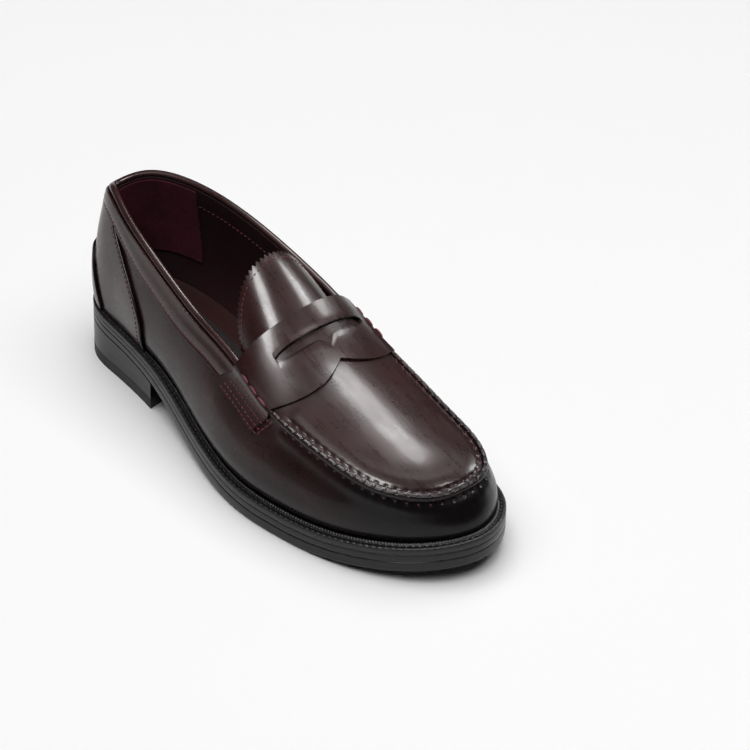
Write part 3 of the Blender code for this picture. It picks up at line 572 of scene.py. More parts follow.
class Look:
    """A new material and short ways to add and join its nodes."""

    def __init__(self, name, **constants):
        self.material = bpy.data.materials.new(name)
        self.material.use_nodes = True
        self.tree = self.material.node_tree
        self.shader = self.tree.nodes["Principled BSDF"]
        for socket, value in constants.items():
            self.shader.inputs[socket.replace("_", " ")].default_value = value
        self.place = self.add("ShaderNodeTexCoord").outputs["Object"]

    def add(self, kind, settings=None, **inputs):
        node = self.tree.nodes.new(kind)
        for key, value in (settings or {}).items():
            setattr(node, key, value)
        for key, value in inputs.items():
            self.join(node.inputs[key.replace("_", " ")], value)
        return node

    def join(self, socket, value):
        if isinstance(value, bpy.types.NodeSocket):
            self.tree.links.new(value, socket)
        else:
            socket.default_value = value

    def stretched(self, scale):
        """Coordinates stretched by a factor along each axis."""
        return self.add("ShaderNodeMapping", Vector=self.place, Scale=scale).outputs["Vector"]

    def noise(self, scale, detail=3.0, roughness=0.55, vector=None):
        """Soft random pattern, 0 to 1; scale counts patches per metre."""
        node = self.add("ShaderNodeTexNoise", Vector=vector or self.place, Scale=scale, Detail=detail,
                        Roughness=roughness)
        return node.outputs["Fac"]

    def cells(self, scale, vector=None):
        """Distance from the middle of random cells; scale counts cells per metre."""
        node = self.add("ShaderNodeTexVoronoi", Vector=vector or self.place, Scale=scale)
        return node.outputs["Distance"]

    def mapped(self, value, low, high, to_low, to_high):
        """value's range low..high turned into to_low..to_high, held at the ends."""
        node = self.add("ShaderNodeMapRange")
        for index, number in enumerate((value, low, high, to_low, to_high)):
            self.join(node.inputs[index], number)
        return node.outputs[0]

    def sum(self, first, second, share=1.0):
        node = self.add("ShaderNodeMath", {"operation": "MULTIPLY_ADD"})
        for index, number in enumerate((second, share, first)):
            self.join(node.inputs[index], number)
        return node.outputs[0]

    def product(self, first, second):
        node = self.add("ShaderNodeMath", {"operation": "MULTIPLY"})
        self.join(node.inputs[0], first)
        self.join(node.inputs[1], second)
        return node.outputs[0]

    def mixed(self, share, first, second):
        node = self.add("ShaderNodeMix", {"data_type": "RGBA"})
        self.join(node.inputs["Factor"], share)
        self.join(node.inputs[6], first)
        self.join(node.inputs[7], second)
        return node.outputs[2]

    def burnish_and_shade(self):
        """How dark the leather is painted, as the piece's mesh says: burnished polish and, in places, painted
        shade.
        """
        return self.add("ShaderNodeAttribute", {"attribute_name": "burnish_and_shade"}).outputs["Fac"]

    def relief(self, height, depth):
        """Bump from a 0-to-1 height, depth in millimetres."""
        bump = self.add("ShaderNodeBump", Height=height, Distance=depth * 0.001, Strength=1.0)
        self.join(self.shader.inputs["Normal"], bump.outputs["Normal"])
        return bump

    def colour(self, value):
        self.join(self.shader.inputs["Base Color"], value)

    def tones(self, value, low, high, first, second):
        """Colour from first to second as value runs from low to high."""
        self.colour(self.mixed(self.mapped(value, low, high, 0.0, 1.0), first, second))

    def rough(self, value):
        self.join(self.shader.inputs["Roughness"], value)


BURGUNDY = (0.041, 0.0150, 0.0150, 1.0)
BURGUNDY_DEEP = (0.024, 0.0080, 0.0085, 1.0)
# Darkest tone of the polished leather: burnished polish, and painted shade where a piece's darkness layer
# asks for it.
BURNT_AND_SHADE = (0.0045, 0.0033, 0.0036, 1.0)
THREAD_RED = (0.170, 0.026, 0.050, 1.0)
THREAD_DARK = (0.090, 0.014, 0.027, 1.0)
THREAD_BLACK = (0.020, 0.018, 0.019, 1.0)
THREAD_BLACK_DARK = (0.008, 0.007, 0.008, 1.0)
BLACK = (0.0060, 0.0055, 0.0058, 1.0)


def polished_leather():
    """Brushed-off burgundy leather: glossy, streaky polish, darker where it is burnished and where shade is
    painted in.
    """
    look = Look("burgundy_polished_leather", Coat_Weight=0.16, Coat_Roughness=0.10, Coat_IOR=1.5)
    patches = look.noise(28.0, 4.0, 0.6)
    fine = look.noise(420.0, 3.0, 0.6)
    streaks = look.noise(1.0, 3.0, 0.6, look.stretched((260.0, 34.0, 60.0)))
    base = look.mixed(look.mapped(patches, 0.35, 0.68, 0.0, 1.0), BURGUNDY, BURGUNDY_DEEP)
    dark = look.sum(look.burnish_and_shade(), look.mapped(fine, 0.3, 0.7, -0.05, 0.05))
    look.tones(dark, 0.0, 1.0, base, BURNT_AND_SHADE)
    look.join(look.shader.inputs["Specular IOR Level"], look.mapped(dark, 0.08, 0.6, 0.44, 0.17))
    look.rough(look.mapped(look.sum(streaks, fine, 0.4), 0.45, 0.95, 0.24, 0.36))
    pores = look.cells(1500.0)
    grain = look.sum(look.product(look.noise(1900.0, 1.0, 0.5), 0.30), pores, 0.20)
    waves = look.add("ShaderNodeBump", Height=look.noise(34.0, 1.0, 0.4), Distance=0.0007, Strength=1.0)
    bump = look.relief(look.sum(grain, streaks, 0.45), 0.018)
    look.join(bump.inputs["Normal"], waves.outputs["Normal"])
    look.join(look.shader.inputs["Coat Normal"], waves.outputs["Normal"])
    return look.material


def lining_leather():
    """Fine, nearly dull burgundy lining."""
    look = Look("burgundy_lining_leather", Specular_IOR_Level=0.35)
    patches = look.noise(60.0, 4.0, 0.6)
    look.tones(patches, 0.3, 0.7, (0.030, 0.0062, 0.0095, 1.0),
               (0.017, 0.0040, 0.0062, 1.0))
    look.rough(look.mapped(patches, 0.3, 0.7, 0.50, 0.66))
    look.relief(look.sum(look.cells(1300.0), look.noise(700.0, 4.0, 0.6), 0.7), 0.05)
    return look.material


def suede():
    """Napped suede of the heel grip: short fibres, brushed patches."""
    look = Look("burgundy_suede", Sheen_Weight=0.45, Sheen_Roughness=0.5, Specular_IOR_Level=0.1,
                Sheen_Tint=(0.45, 0.12, 0.18, 1.0))
    fibres = look.noise(1.0, 4.0, 0.7, look.stretched((2600.0, 2600.0, 1100.0)))
    brushed = look.noise(75.0, 4.0, 0.65)
    tone = look.sum(look.product(fibres, 0.45), brushed, 0.7)
    look.tones(tone, 0.35, 0.80, (0.020, 0.0035, 0.0070, 1.0),
               (0.088, 0.014, 0.028, 1.0))
    look.rough(look.mapped(fibres, 0.3, 0.7, 0.86, 1.0))
    look.relief(look.sum(fibres, look.noise(420.0, 3.0, 0.6), 0.6), 0.16)
    return look.material


def sock_leather():
    """Brown-burgundy sock liner, a little rubbed."""
    look = Look("sock_leather", Specular_IOR_Level=0.4)
    worn = look.noise(40.0, 5.0, 0.65)
    look.tones(worn, 0.3, 0.7, (0.036, 0.0120, 0.0115, 1.0),
               (0.021, 0.0068, 0.0072, 1.0))
    look.rough(look.mapped(worn, 0.3, 0.7, 0.36, 0.55))
    look.relief(look.sum(look.cells(1100.0), look.noise(600.0, 4.0, 0.6), 0.7), 0.05)
    return look.material


def label_satin():
    """Black woven label cloth."""
    look = Look("label_satin", Sheen_Weight=0.2, Specular_IOR_Level=0.3)
    warp = look.add("ShaderNodeTexWave", {"wave_type": "BANDS", "bands_direction": "X"}, Vector=look.place,
                    Scale=700.0, Distortion=0.4).outputs["Fac"]
    weft = look.add("ShaderNodeTexWave", {"wave_type": "BANDS", "bands_direction": "Y"}, Vector=look.place,
                    Scale=500.0, Distortion=0.4).outputs["Fac"]
    weave = look.product(warp, weft)
    look.colour(look.mixed(weave, (0.0060, 0.0058, 0.0065, 1.0), (0.0130, 0.0125, 0.0135, 1.0)))
    look.rough(look.mapped(weave, 0.0, 1.0, 0.62, 0.45))
    look.relief(weave, 0.06)
    return look.material


def waxed_thread(name, light, dark):
    """Twisted waxed thread."""
    look = Look(name, Specular_IOR_Level=0.4)
    twist = look.noise(1.0, 2.0, 0.5, look.stretched((2200.0, 2900.0, 2500.0)))
    tone = look.noise(140.0, 3.0, 0.6)
    look.colour(look.mixed(look.mapped(look.sum(look.product(twist, 0.5), tone, 0.5), 0.3, 0.7, 0.0, 1.0),
                           light, dark))
    look.rough(look.mapped(twist, 0.3, 0.7, 0.42, 0.62))
    look.relief(twist, 0.08)
    return look.material


def black_welt():
    """Dyed black welt leather: fibrous, waxed on its edge."""
    look = Look("black_welt_leather", Specular_IOR_Level=0.42, Coat_Weight=0.08, Coat_Roughness=0.25)
    fibre = look.noise(1.0, 4.0, 0.65, look.stretched((700.0, 700.0, 1500.0)))
    worn = look.noise(90.0, 4.0, 0.6)
    look.tones(worn, 0.3, 0.75, BLACK, (0.0125, 0.0098, 0.0098, 1.0))
    look.rough(look.mapped(look.sum(fibre, worn, 0.6), 0.5, 1.1, 0.34, 0.58))
    look.relief(look.sum(fibre, look.cells(1600.0), 0.4), 0.06)
    return look.material


def edge_dressing():
    """Edges of the sole and the heel stack: smooth black edge ink over trimmed leather."""
    look = Look("black_edge_dressing", Specular_IOR_Level=0.34, Coat_Weight=0.05, Coat_Roughness=0.22)
    layers = look.noise(1.0, 4.0, 0.6, look.stretched((45.0, 45.0, 1500.0)))
    worn = look.noise(120.0, 4.0, 0.6)
    look.tones(worn, 0.35, 0.75, BLACK, (0.0140, 0.0125, 0.0130, 1.0))
    look.rough(look.mapped(look.sum(layers, worn, 0.7), 0.6, 1.2, 0.26, 0.44))
    look.relief(look.sum(layers, look.noise(900.0, 3.0, 0.6), 0.4), 0.035)
    return look.material


def sole_rubber():
    """Matt black rubber with fine moulded grain."""
    look = Look("black_rubber", Specular_IOR_Level=0.4)
    dust = look.noise(80.0, 5.0, 0.65)
    look.tones(dust, 0.4, 0.8, (0.0070, 0.0068, 0.0070, 1.0),
               (0.0170, 0.0165, 0.0165, 1.0))
    look.rough(look.mapped(dust, 0.3, 0.7, 0.48, 0.68))
    look.relief(look.noise(1800.0, 2.0, 0.5), 0.06)
    return look.material


def fibre_board():
    """Pressed fibre board of the hidden stiff parts."""
    look = Look("fibre_board", Specular_IOR_Level=0.2)
    flecks = look.noise(900.0, 4.0, 0.75)
    look.tones(flecks, 0.35, 0.7, (0.30, 0.20, 0.12, 1.0),
               (0.17, 0.10, 0.055, 1.0))
    look.rough(look.mapped(flecks, 0.3, 0.7, 0.8, 0.95))
    look.relief(flecks, 0.12)
    return look.material


def cork_granules():
    """Granulated cork filler."""
    look = Look("cork_granules", Specular_IOR_Level=0.2)
    grains = look.cells(420.0)
    look.tones(grains, 0.1, 0.6, (0.36, 0.21, 0.105, 1.0),
               (0.10, 0.050, 0.024, 1.0))
    look.rough(look.mapped(grains, 0.0, 0.6, 0.85, 0.97))
    look.relief(grains, 0.3)
    return look.material


def spring_steel():
    """Rolled steel of the shank."""
    look = Look("spring_steel", Metallic=1.0)
    rolled = look.noise(1.0, 3.0, 0.6, look.stretched((900.0, 20.0, 900.0)))
    look.colour(look.mixed(rolled, (0.42, 0.42, 0.43, 1.0), (0.58, 0.58, 0.60, 1.0)))
    look.rough(look.mapped(rolled, 0.3, 0.7, 0.28, 0.44))
    look.relief(rolled, 0.02)
    return look.material


LOOKS = {
    "burgundy_leather": polished_leather(),
    "dark_leather": polished_leather(),
    "lining_leather": lining_leather(),
    "suede": suede(),
    "sock_leather": sock_leather(),
    "label_black": label_satin(),
    "thread": waxed_thread("red_waxed_thread", THREAD_RED, THREAD_DARK),
    "black_thread": waxed_thread("black_waxed_thread", THREAD_BLACK, THREAD_BLACK_DARK),
    "black_welt": black_welt(),
    "edge": edge_dressing(),
    "black_rubber": sole_rubber(),
    "fibre_board": fibre_board(),
    "cork": cork_granules(),
    "steel": spring_steel(),
}


def dress(piece, look, nodes=(), body="shoe"):
    """Gives a piece its material in one slot and hides the CAD nodes that it stands for; a tongue piece only
    has its transform baked in, any other is parented to its body's empty.
    """
    piece.data.materials.clear()
    piece.data.materials.append(LOOKS[look])
    if nodes:
        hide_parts(*nodes)
    if body == "tongue":
        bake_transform(piece)
    else:
        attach(piece, body)
    return piece


# --------------------------------------------------------------------------------------
# The moccasin seam: one raised lip round the apron, sewn every SEAM_PITCH
# --------------------------------------------------------------------------------------

SEAM_PITCH = 6.0
SEWN_PITCH = 2.9              # machine-sewn rows of the tongue, collar and counter
STRAP_CENTRE = 0.12           # where the slot notch and the front cusp sit across the apron
STRAP_REAR = 160.8            # rear edge at the middle of the apron, and how far its ends run back
STRAP_REAR_SWEEP = {"lateral": 8.5, "medial": 6.0}
STRAP_FRONT = 197.5           # furthest station of the two lobes of the front edge
SLOT_MIDDLE = 175.0
SLOT_OPEN = 2.6               # half the slot's width
SLOT_LIFT = 0.3               # how far the slot's lips stand up
ARCH_HALF = 38.0              # about half the way across the apron, in millimetres
SLOT_HALF = 0.745
TAB_DROP = 17.0
TAB_BACK = 12.0               # how far the tab's rear and front edges run back on the way down
TAB_FORE = 7.0
APRON_REAR = 162.6            # the apron ends under the strap
TONGUE_TUCK = 6.0
TONGUE_DROP = 6.0
COLLAR_FRONT = 152.0

SEAM_ENDS = (float(ring_u_at(TOP, 184.0, True)), float(ring_u_at(TOP, 184.0, False)))
SEAM_U = np.linspace(*SEAM_ENDS, 1600)
SEAM_RUN = run_length(to_world(wall_top(SEAM_U)))
SEAM_SHARE = blend(193.0, 199.0, TOP(SEAM_U)[:, 1])


def seam_run(u):
    """Distance along the apron seam, in millimetres, at ring parameters."""
    return np.interp(u, SEAM_U, SEAM_RUN)


def pulled(run, width=0.9):
    """1 where a seam stitch pulls the leather down, 0 between stitches."""
    phase = np.mod(run, SEAM_PITCH) - SEAM_PITCH / 2.0
    return np.exp(-(phase / width) ** 2)


def on_wall(u, below, depth):
    """Path on the wall and its outward normals."""
    u = np.asarray(u, float)
    below = np.broadcast_to(np.asarray(below, float), u.shape)
    return (to_world(wall_below(u, below, depth)),
            outward_of(lambda p, q: wall_below(p, q, depth), u, below, (0.0005, 0.3)))


def round_heel(station, count):
    """Ring parameters from the inner side round the heel to the outer side."""
    start = float(ring_u_at(TOP, station, False)) - 1.0
    return np.linspace(start, float(ring_u_at(TOP, station, True)), count)


def round_toe(station, count):
    """Ring parameters from one side round the toe to the other."""
    start = float(ring_u_at(TOP, station, True))
    return np.linspace(start, float(ring_u_at(TOP, station, False)), count)


def wall_sheet(u, top_below, foot_below, depth, rows):
    """Grid on the wall between two distances below its top (foot None: the welt), and those distances."""
    top_v = wall_v(u, top_below)
    foot_v = np.zeros(len(u)) if foot_below is None else wall_v(u, foot_below)
    steps = np.linspace(0.0, 1.0, rows)
    guides = wall_guides(u, depth)
    grid = to_world(np.stack([bezier(guides, foot_v + (top_v - foot_v) * t) for t in steps], axis=1))
    gaps = np.linalg.norm(np.diff(grid, axis=1), axis=2)[:, ::-1] / MM
    below = np.cumsum(np.concatenate([np.zeros((len(u), 1)), gaps], axis=1), axis=1)[:, ::-1]
    return grid, below + np.reshape(top_below, (-1, 1))


def upper_wall():
    """One-piece side wall: gathered under every seam stitch, burnished round the toe, darker low down."""
    u = np.linspace(0.0005, 0.9995, 1300)
    grid, below = wall_sheet(u, 1.0, None, 0.0, 56)
    run = seam_run(u)[:, None]
    station = TOP(u)[:, 1][:, None]
    on_seam = blend(191.0, 198.0, station)
    toe = blend(215.0, 262.0, station)
    hole = -0.45 * pulled(run, 0.7) * hump(below, 3.5, 0.7)
    fold = 0.12 * np.cos(2.0 * np.pi * run / SEAM_PITCH + np.pi)
    fold = fold * np.exp(-np.maximum(below - 2.5, 0.0) / (2.2 + 2.4 * toe)) * (0.35 + 0.65 * toe)
    swell = 0.35 * hump(below, 6.5, 3.2)
    height = on_seam * (hole + fold + swell)
    low = 1.0 - blend(0.06, 0.52, np.linspace(0.0, 1.0, 56))[None, :]
    # Burnished round the toe; darker low down and just under the seam lip, lighter high on the middle of the
    # sides.
    burnish_and_shade = 0.46 + 0.52 * np.maximum(toe, 0.90 * low) + 0.25 * on_seam * np.exp(-below / 4.0)
    burnish_and_shade = burnish_and_shade - 0.22 * hump(station, 150.0, 55.0) * (1.0 - low)
    return hide_sheet("upper_wall", raised(grid, height), LEATHER, burnish_and_shade)


def apron_top():
    """Apron: its edge dips along the seam and is drawn in at each stitch."""
    start = ring_u_at(TOP, APRON_REAR, True)
    steps = np.sin(np.linspace(0.0, np.pi / 2.0, 190))
    u = start + (TOE_U - start) * steps * 0.9985
    inset = 0.8
    edge = TOP(u)[:, :2] - plan_outward(TOP, u) * inset
    dense = np.linspace(1.0, TOE_U, 900)
    other = TOP(dense)[:, :2] - plan_outward(TOP, dense) * inset
    stations = edge[:, 1]
    far_x = np.interp(stations, other[:, 1], other[:, 0])
    lateral = TOP(ring_u_at(TOP, stations, True))[:, 0]
    medial = TOP(ring_u_at(TOP, stations, False))[:, 0]
    part = (1.0 - np.cos(np.linspace(0.0, np.pi, 97))) / 2.0
    drawn = []
    for share in part:
        x = edge[:, 0] + (far_x - edge[:, 0]) * share
        drawn.append(apron(stations, 2.0 * (x - lateral) / (medial - lateral) - 1.0, 0.0))
    drawn = np.stack(drawn, axis=1)
    seam = TOP(SEAM_U)[:, :2]
    flat = drawn[..., :2].reshape(-1, 2)
    nearest = np.concatenate([np.argmin(((chunk[:, None] - seam[None, ::2]) ** 2).sum(2), axis=1)
                              for chunk in np.array_split(flat, 40)]) * 2
    distance = np.linalg.norm(flat - seam[nearest], axis=1).reshape(drawn.shape[:2])
    run = SEAM_RUN[nearest].reshape(drawn.shape[:2])
    share = SEAM_SHARE[nearest].reshape(drawn.shape[:2])
    groove = -0.42 * hump(distance, 2.9, 1.25) - 0.40 * pulled(run) * hump(distance, 3.1, 1.0)
    swell = 0.30 * hump(distance, 7.5, 3.5)
    height = share * (groove + swell)
    toe = blend(225.0, 284.0, drawn[..., 1])
    burnish_and_shade = 0.04 + 0.50 * np.exp(-distance / 2.6) + 0.35 * toe * np.exp(-distance / 14.0)
    # Painted shade: the apron is darker behind station 185, under the strap, where it shows through the slot.
    burnish_and_shade = burnish_and_shade + 0.25 * blend(185.0, 165.0, drawn[..., 1])
    return hide_sheet("apron_top", raised(to_world(drawn), height), LEATHER, burnish_and_shade)


def seam_lip():
    """Raised lip of the two leathers, pinched by the stitches, with a fine line between the layers."""
    turn = np.linspace(0.0, 2.0 * np.pi, 28, endpoint=False)
    shape = circle(1.62, 1.95, 28, 0.85)
    groove = 1.0 - 0.17 * np.exp(-((turn - 0.56 * np.pi) / 0.13) ** 2)
    pinch = 1.0 - 0.10 * pulled(SEAM_RUN, 0.8)
    section = shape[None] * groove[None, :, None] * pinch[:, None, None]
    section[..., 0] += 0.15
    out = plan_outward(TOP, SEAM_U)
    guide = world_direction(np.column_stack([out * 0.25, np.ones(len(out))]))
    toe = blend(210.0, 260.0, TOP(SEAM_U)[:, 1])
    return swept("apron_seam_lip", to_world(wall_top(SEAM_U)), guide, section, burnish_and_shade=0.55 + 0.3 * toe)


def seam_stitches():
    """Red thread over the inner flank of the lip, each stitch slanting forward, and its short outer end."""
    count = int(SEAM_RUN[-1] / SEAM_PITCH)
    places = np.interp((np.arange(count) + 0.5) * SEAM_PITCH, SEAM_RUN, SEAM_U)[1:-1]
    step = SEAM_PITCH / SEAM_RUN[-1] * (SEAM_U[-1] - SEAM_U[0])
    part = np.linspace(0.0, 1.0, 7)
    middles, ups = [], []
    for t in part:
        u = places + (t - 0.5) * 0.42 * step
        inward = 3.3 - 2.1 * t
        out = plan_outward(TOP, u)
        rise = -0.15 + 1.45 * t ** 1.3 + 0.35 * np.sin(np.pi * t)
        base = TOP(u)
        base = base + np.column_stack([-out * inward, np.full(len(u), rise)])
        middles.append(to_world(base))
        lean = np.column_stack([-out * 0.6, np.full(len(u), 0.8)])
        ups.append(world_direction(lean))
    inner = thread_mesh("apron_stitches", np.stack(middles, axis=1), unit(np.stack(ups, axis=1)), 0.27)
    u = np.concatenate([np.linspace(p - 0.17 * step, p + 0.17 * step, 7) for p in places])
    path, normals = on_wall(u, 3.4, -0.02)
    shape = (len(places), 7, 3)
    sunk = path.reshape(shape) - normals.reshape(shape) * (0.35 - 0.3 * np.sin(np.pi * part))[:, None] * MM
    outer = thread_mesh("wall_stitches", sunk, normals.reshape(shape), 0.24)
    return inner, outer


# --------------------------------------------------------------------------------------
# Penny strap
# --------------------------------------------------------------------------------------

def strap_rear(across):
    """Station of the strap's rear edge, which bends back towards both seams."""
    across = np.asarray(across, float)
    sweep = np.where(across < 0.0, STRAP_REAR_SWEEP["lateral"], STRAP_REAR_SWEEP["medial"])
    return STRAP_REAR - sweep * across ** 2


def strap_front(across):
    """Two rounded lobes meeting in a point that faces the heel."""
    offset = np.abs(np.asarray(across, float) - STRAP_CENTRE)
    lobes = STRAP_FRONT - 11.0 * np.clip((offset - 0.48) / 0.6, 0.0, 1.0) ** 2
    return lobes - 6.5 * np.clip(1.0 - offset / 0.42, 0.0, 1.0) ** 1.6


def slot_edges(across):
    """Rear and front edge of the slot; the front one has a small notch, and both meet at the ends."""
    offset = np.minimum(np.abs(np.asarray(across, float) - STRAP_CENTRE) / SLOT_HALF, 1.0)
    middle = SLOT_MIDDLE - 3.5 * offset ** 2
    half = SLOT_OPEN * np.maximum(1.0 - offset ** 6, 0.0) ** 0.5
    notch = 4.6 * np.clip(1.0 - offset / 0.2, 0.0, 1.0) ** 1.3
    return middle - half, middle + half + notch


def strap_point(across, station, depth):
    """Point on the strap: across beyond -1 or 1 runs down the wall, in millimetres."""
    on_top = apron(station, np.clip(across, -1.0, 1.0), depth)
    below = np.maximum(np.abs(across) - 1.0, 0.0)
    lateral = ring_u_at(TOP, station, True)
    medial = ring_u_at(TOP, station, False)
    down = wall_below(np.where(across < 0.0, lateral, medial), below, depth)
    return np.where((below > 0.0)[:, None], down, on_top)


def eased(grid, weight, rounds):
    """The grid with its columns smoothed sideways where weight is 1."""
    grid = grid.copy()
    for _ in range(rounds):
        middle = (grid[:, :-2] + grid[:, 2:]) / 2.0
        grid[:, 1:-1] += (middle - grid[:, 1:-1]) * weight[None, 1:-1, None] * 0.7
    return grid


def penny_strap():
    """Saddle strap: bat-shaped slot, lobed front edge, ends run down the wall as sewn tabs."""
    tab = np.linspace(0.5, TAB_DROP, 34)
    top = np.sin(np.linspace(-np.pi / 2.0, np.pi / 2.0, 241)) * 0.5 + np.linspace(-1.0, 1.0, 241) * 0.5
    across = np.concatenate([-1.0 - tab[::-1], top, 1.0 + tab])
    for end in (STRAP_CENTRE - SLOT_HALF, STRAP_CENTRE + SLOT_HALF, STRAP_CENTRE):
        across[np.argmin(np.abs(across - end))] = end
    held = np.clip(across, -1.0, 1.0)
    below = np.maximum(np.abs(across) - 1.0, 0.0)
    rear = strap_rear(held) - TAB_BACK * blend(0.0, TAB_DROP, below)
    front = strap_front(held) - TAB_FORE * blend(0.0, TAB_DROP, below)
    slot_rear, slot_front = slot_edges(held)
    rows = 16
    steps = np.linspace(0.0, 1.0, rows)
    stations = [rear + (slot_rear - rear) * t for t in steps]
    stations += [slot_front + (front - slot_front) * t for t in steps]
    grid = to_world(np.stack([strap_point(across, station, -OVERLAY) for station in stations]))
    crease = np.exp(-((np.abs(across) - 1.0) * np.where(np.abs(across) > 1.0, 1.0, ARCH_HALF) / 2.6) ** 2)
    grid = eased(grid, crease, 14)
    side = np.abs(across) - 1.0
    ridge = np.where(side > 0.0, side, side * ARCH_HALF)
    height = np.broadcast_to(0.9 * hump(ridge, 0.2, 1.9), grid.shape[:2])
    grid = raised(grid, -height) if facing_in(grid) else raised(grid, height)
    stations = np.stack(stations)
    lip = np.minimum(np.abs(stations - slot_rear), np.abs(stations - slot_front))
    inside = (np.abs(held - STRAP_CENTRE) < SLOT_HALF)[None, :]
    lift = SLOT_LIFT * hump(lip, 0.0, 2.0) * inside
    grid = raised(grid, lift)
    closed = np.abs(held - STRAP_CENTRE) > SLOT_HALF - 1e-6
    grid[rows, closed] = grid[rows - 1, closed]
    same = np.arange(grid.shape[0] * grid.shape[1]).reshape(grid.shape[:2])
    same[rows, closed] = same[rows - 1, closed]
    same = same.ravel()
    faces = [face for face in grid_faces(2 * rows, len(across)) if face[0] // len(across) != rows - 1]
    faces = [tuple(int(same[corner]) for corner in face) for face in faces]
    # Only the outer tab is made darker lower down.
    on_tab = 0.27 * blend(0.0, 14.0, below) * (across < 0.0)
    # The slot's lips are painted nearly black: partly the raw cut edge, partly painted shade inside the slot.
    burnish_and_shade = 0.02 + on_tab + 0.35 * hump(ridge, 0.0, 2.5) + 0.9 * hump(lip, 0.0, 0.35) * inside
    return hide_sheet("penny_strap", grid, LEATHER, burnish_and_shade, faces=faces, edge=0.3)


def tab_rows(lateral):
    """Paths of the stitch rows on one strap tab, parallel to the topline, and down its two ends."""
    rows = []
    for below in (4.6, 8.4, 12.2, 15.4):
        rear = strap_rear(1.0) - TAB_BACK * float(blend(0.0, TAB_DROP, below)) + 2.2
        front = strap_front(1.0) - TAB_FORE * float(blend(0.0, TAB_DROP, below)) - 2.6
        u = ring_u_at(TOP, np.linspace(rear, front, 60), lateral)
        rows.append(on_wall(u, below, -OVERLAY))
    below = np.linspace(3.0, 15.4, 40)
    front = strap_front(1.0) - TAB_FORE * blend(0.0, TAB_DROP, below) - 2.2
    rows.append(on_wall(ring_u_at(TOP, front, lateral), below, -OVERLAY))
    return rows


def strap_seam_stitches(name, lateral):
    """Three long hand stitches along the ridge under the strap, each dipping into its holes."""
    count, rings = 3, 13
    part = np.linspace(0.0, 1.0, rings)
    starts = 159.5 + 8.3 * np.arange(count)
    stations = (starts[:, None] + 7.0 * part).ravel()
    u = ring_u_at(TOP, stations, lateral)
    out = plan_outward(TOP, u)
    lift = np.tile(0.15 + 1.35 * np.sin(np.pi * part) ** 0.35, count)
    base = wall_top(u, -OVERLAY)
    middle = to_world(base + np.column_stack([out * 0.2 * lift[:, None], lift]))
    up = unit(world_direction(np.column_stack([out * 0.4, np.ones(len(u))])))
    shape = (count, rings, 3)
    return thread_mesh(name, middle.reshape(shape), up.reshape(shape), 0.62)


# --------------------------------------------------------------------------------------
# Tongue
# --------------------------------------------------------------------------------------

TOOTH_PITCH = 3.1
TOOTH_DEPTH = 1.9


def tongue_point(station, across, depth):
    """Arch of the tongue, narrower than the wall so that its sides tuck inside the collar."""
    lateral = TOP(ring_u_at(TOP, station, True))
    medial = TOP(ring_u_at(TOP, station, False))
    half = (medial[:, 0] - lateral[:, 0]) / 2.0 - TONGUE_TUCK - depth
    centre = (medial[:, 0] + lateral[:, 0]) / 2.0
    side = lateral[:, 2] + (medial[:, 2] - lateral[:, 2]) * (across + 1.0) / 2.0 - TONGUE_DROP
    crown = centre_line(station, depth) - side
    arch = np.maximum(1.0 - across ** 2, 0.0) ** 0.62
    return np.column_stack([centre + half * across, station, side + crown * arch])


def tongue_edge(count, inset, tooth=0.0):
    """Free edge of the tongue as (across, station), moved in by inset, with pinked teeth."""
    across = np.sin(np.linspace(-np.pi / 2.0, np.pi / 2.0, 1200)) * 0.999
    station = 130.2 + 18.0 * np.abs(across) ** 7
    down = np.linspace(0.0, 1.0, 60)[:, None]
    corners = np.column_stack([across, station])[[0, -1]]
    lateral = np.array([[-0.999, strap_rear(-1.0)]]) * (1.0 - down) + corners[0] * down
    medial = corners[1] * (1.0 - down) + np.array([[0.999, strap_rear(1.0)]]) * down
    edge = np.vstack([lateral[:-1], np.column_stack([across, station]), medial[1:]])
    run = run_length(to_world(tongue_point(edge[:, 1], edge[:, 0], 0.0)))
    at = np.linspace(0.0, run[-1], count)
    edge = np.column_stack([np.interp(at, run, edge[:, 0]), np.interp(at, run, edge[:, 1])])
    step = 1e-3
    wide = (np.linalg.norm(tongue_point(edge[:, 1], edge[:, 0] * (1.0 - step), 0.0)
                           - tongue_point(edge[:, 1], edge[:, 0], 0.0), axis=1)
            / np.maximum(np.abs(edge[:, 0]) * step, 1e-5))
    wide = np.clip(wide, 30.0, 110.0)
    heading = unit(np.column_stack([np.gradient(edge[:, 0]) * wide, np.gradient(edge[:, 1])]))
    inward = np.column_stack([-heading[:, 1], heading[:, 0]])
    inward *= np.sign(inward[len(inward) // 2, 1])
    wave = np.abs(np.mod(at / TOOTH_PITCH, 1.0) * 2.0 - 1.0)
    fade = blend(0.0, 8.0, at) * blend(0.0, 8.0, run[-1] - at)
    move = (inset + tooth * (1.0 - wave)) * fade
    return edge + np.column_stack([inward[:, 0] / wide, inward[:, 1]]) * move[:, None], run[-1]


def tongue_grid(edge, depth, rows):
    """Grid of the tongue from its free edge to under the strap."""
    share = np.linspace(-1.0, 1.0, len(edge))
    reach = np.column_stack([0.72 * np.sin(share * np.pi / 2.0), np.zeros(len(edge))])
    reach[:, 1] = strap_rear(reach[:, 0]) + 1.6
    part = np.linspace(0.0, 1.0, rows) ** 1.25
    grid = []
    for t in part:
        flat = edge * (1.0 - t) + reach * t
        grid.append(tongue_point(flat[:, 1], np.clip(flat[:, 0], -1.0, 1.0), depth))
    return to_world(np.stack(grid))


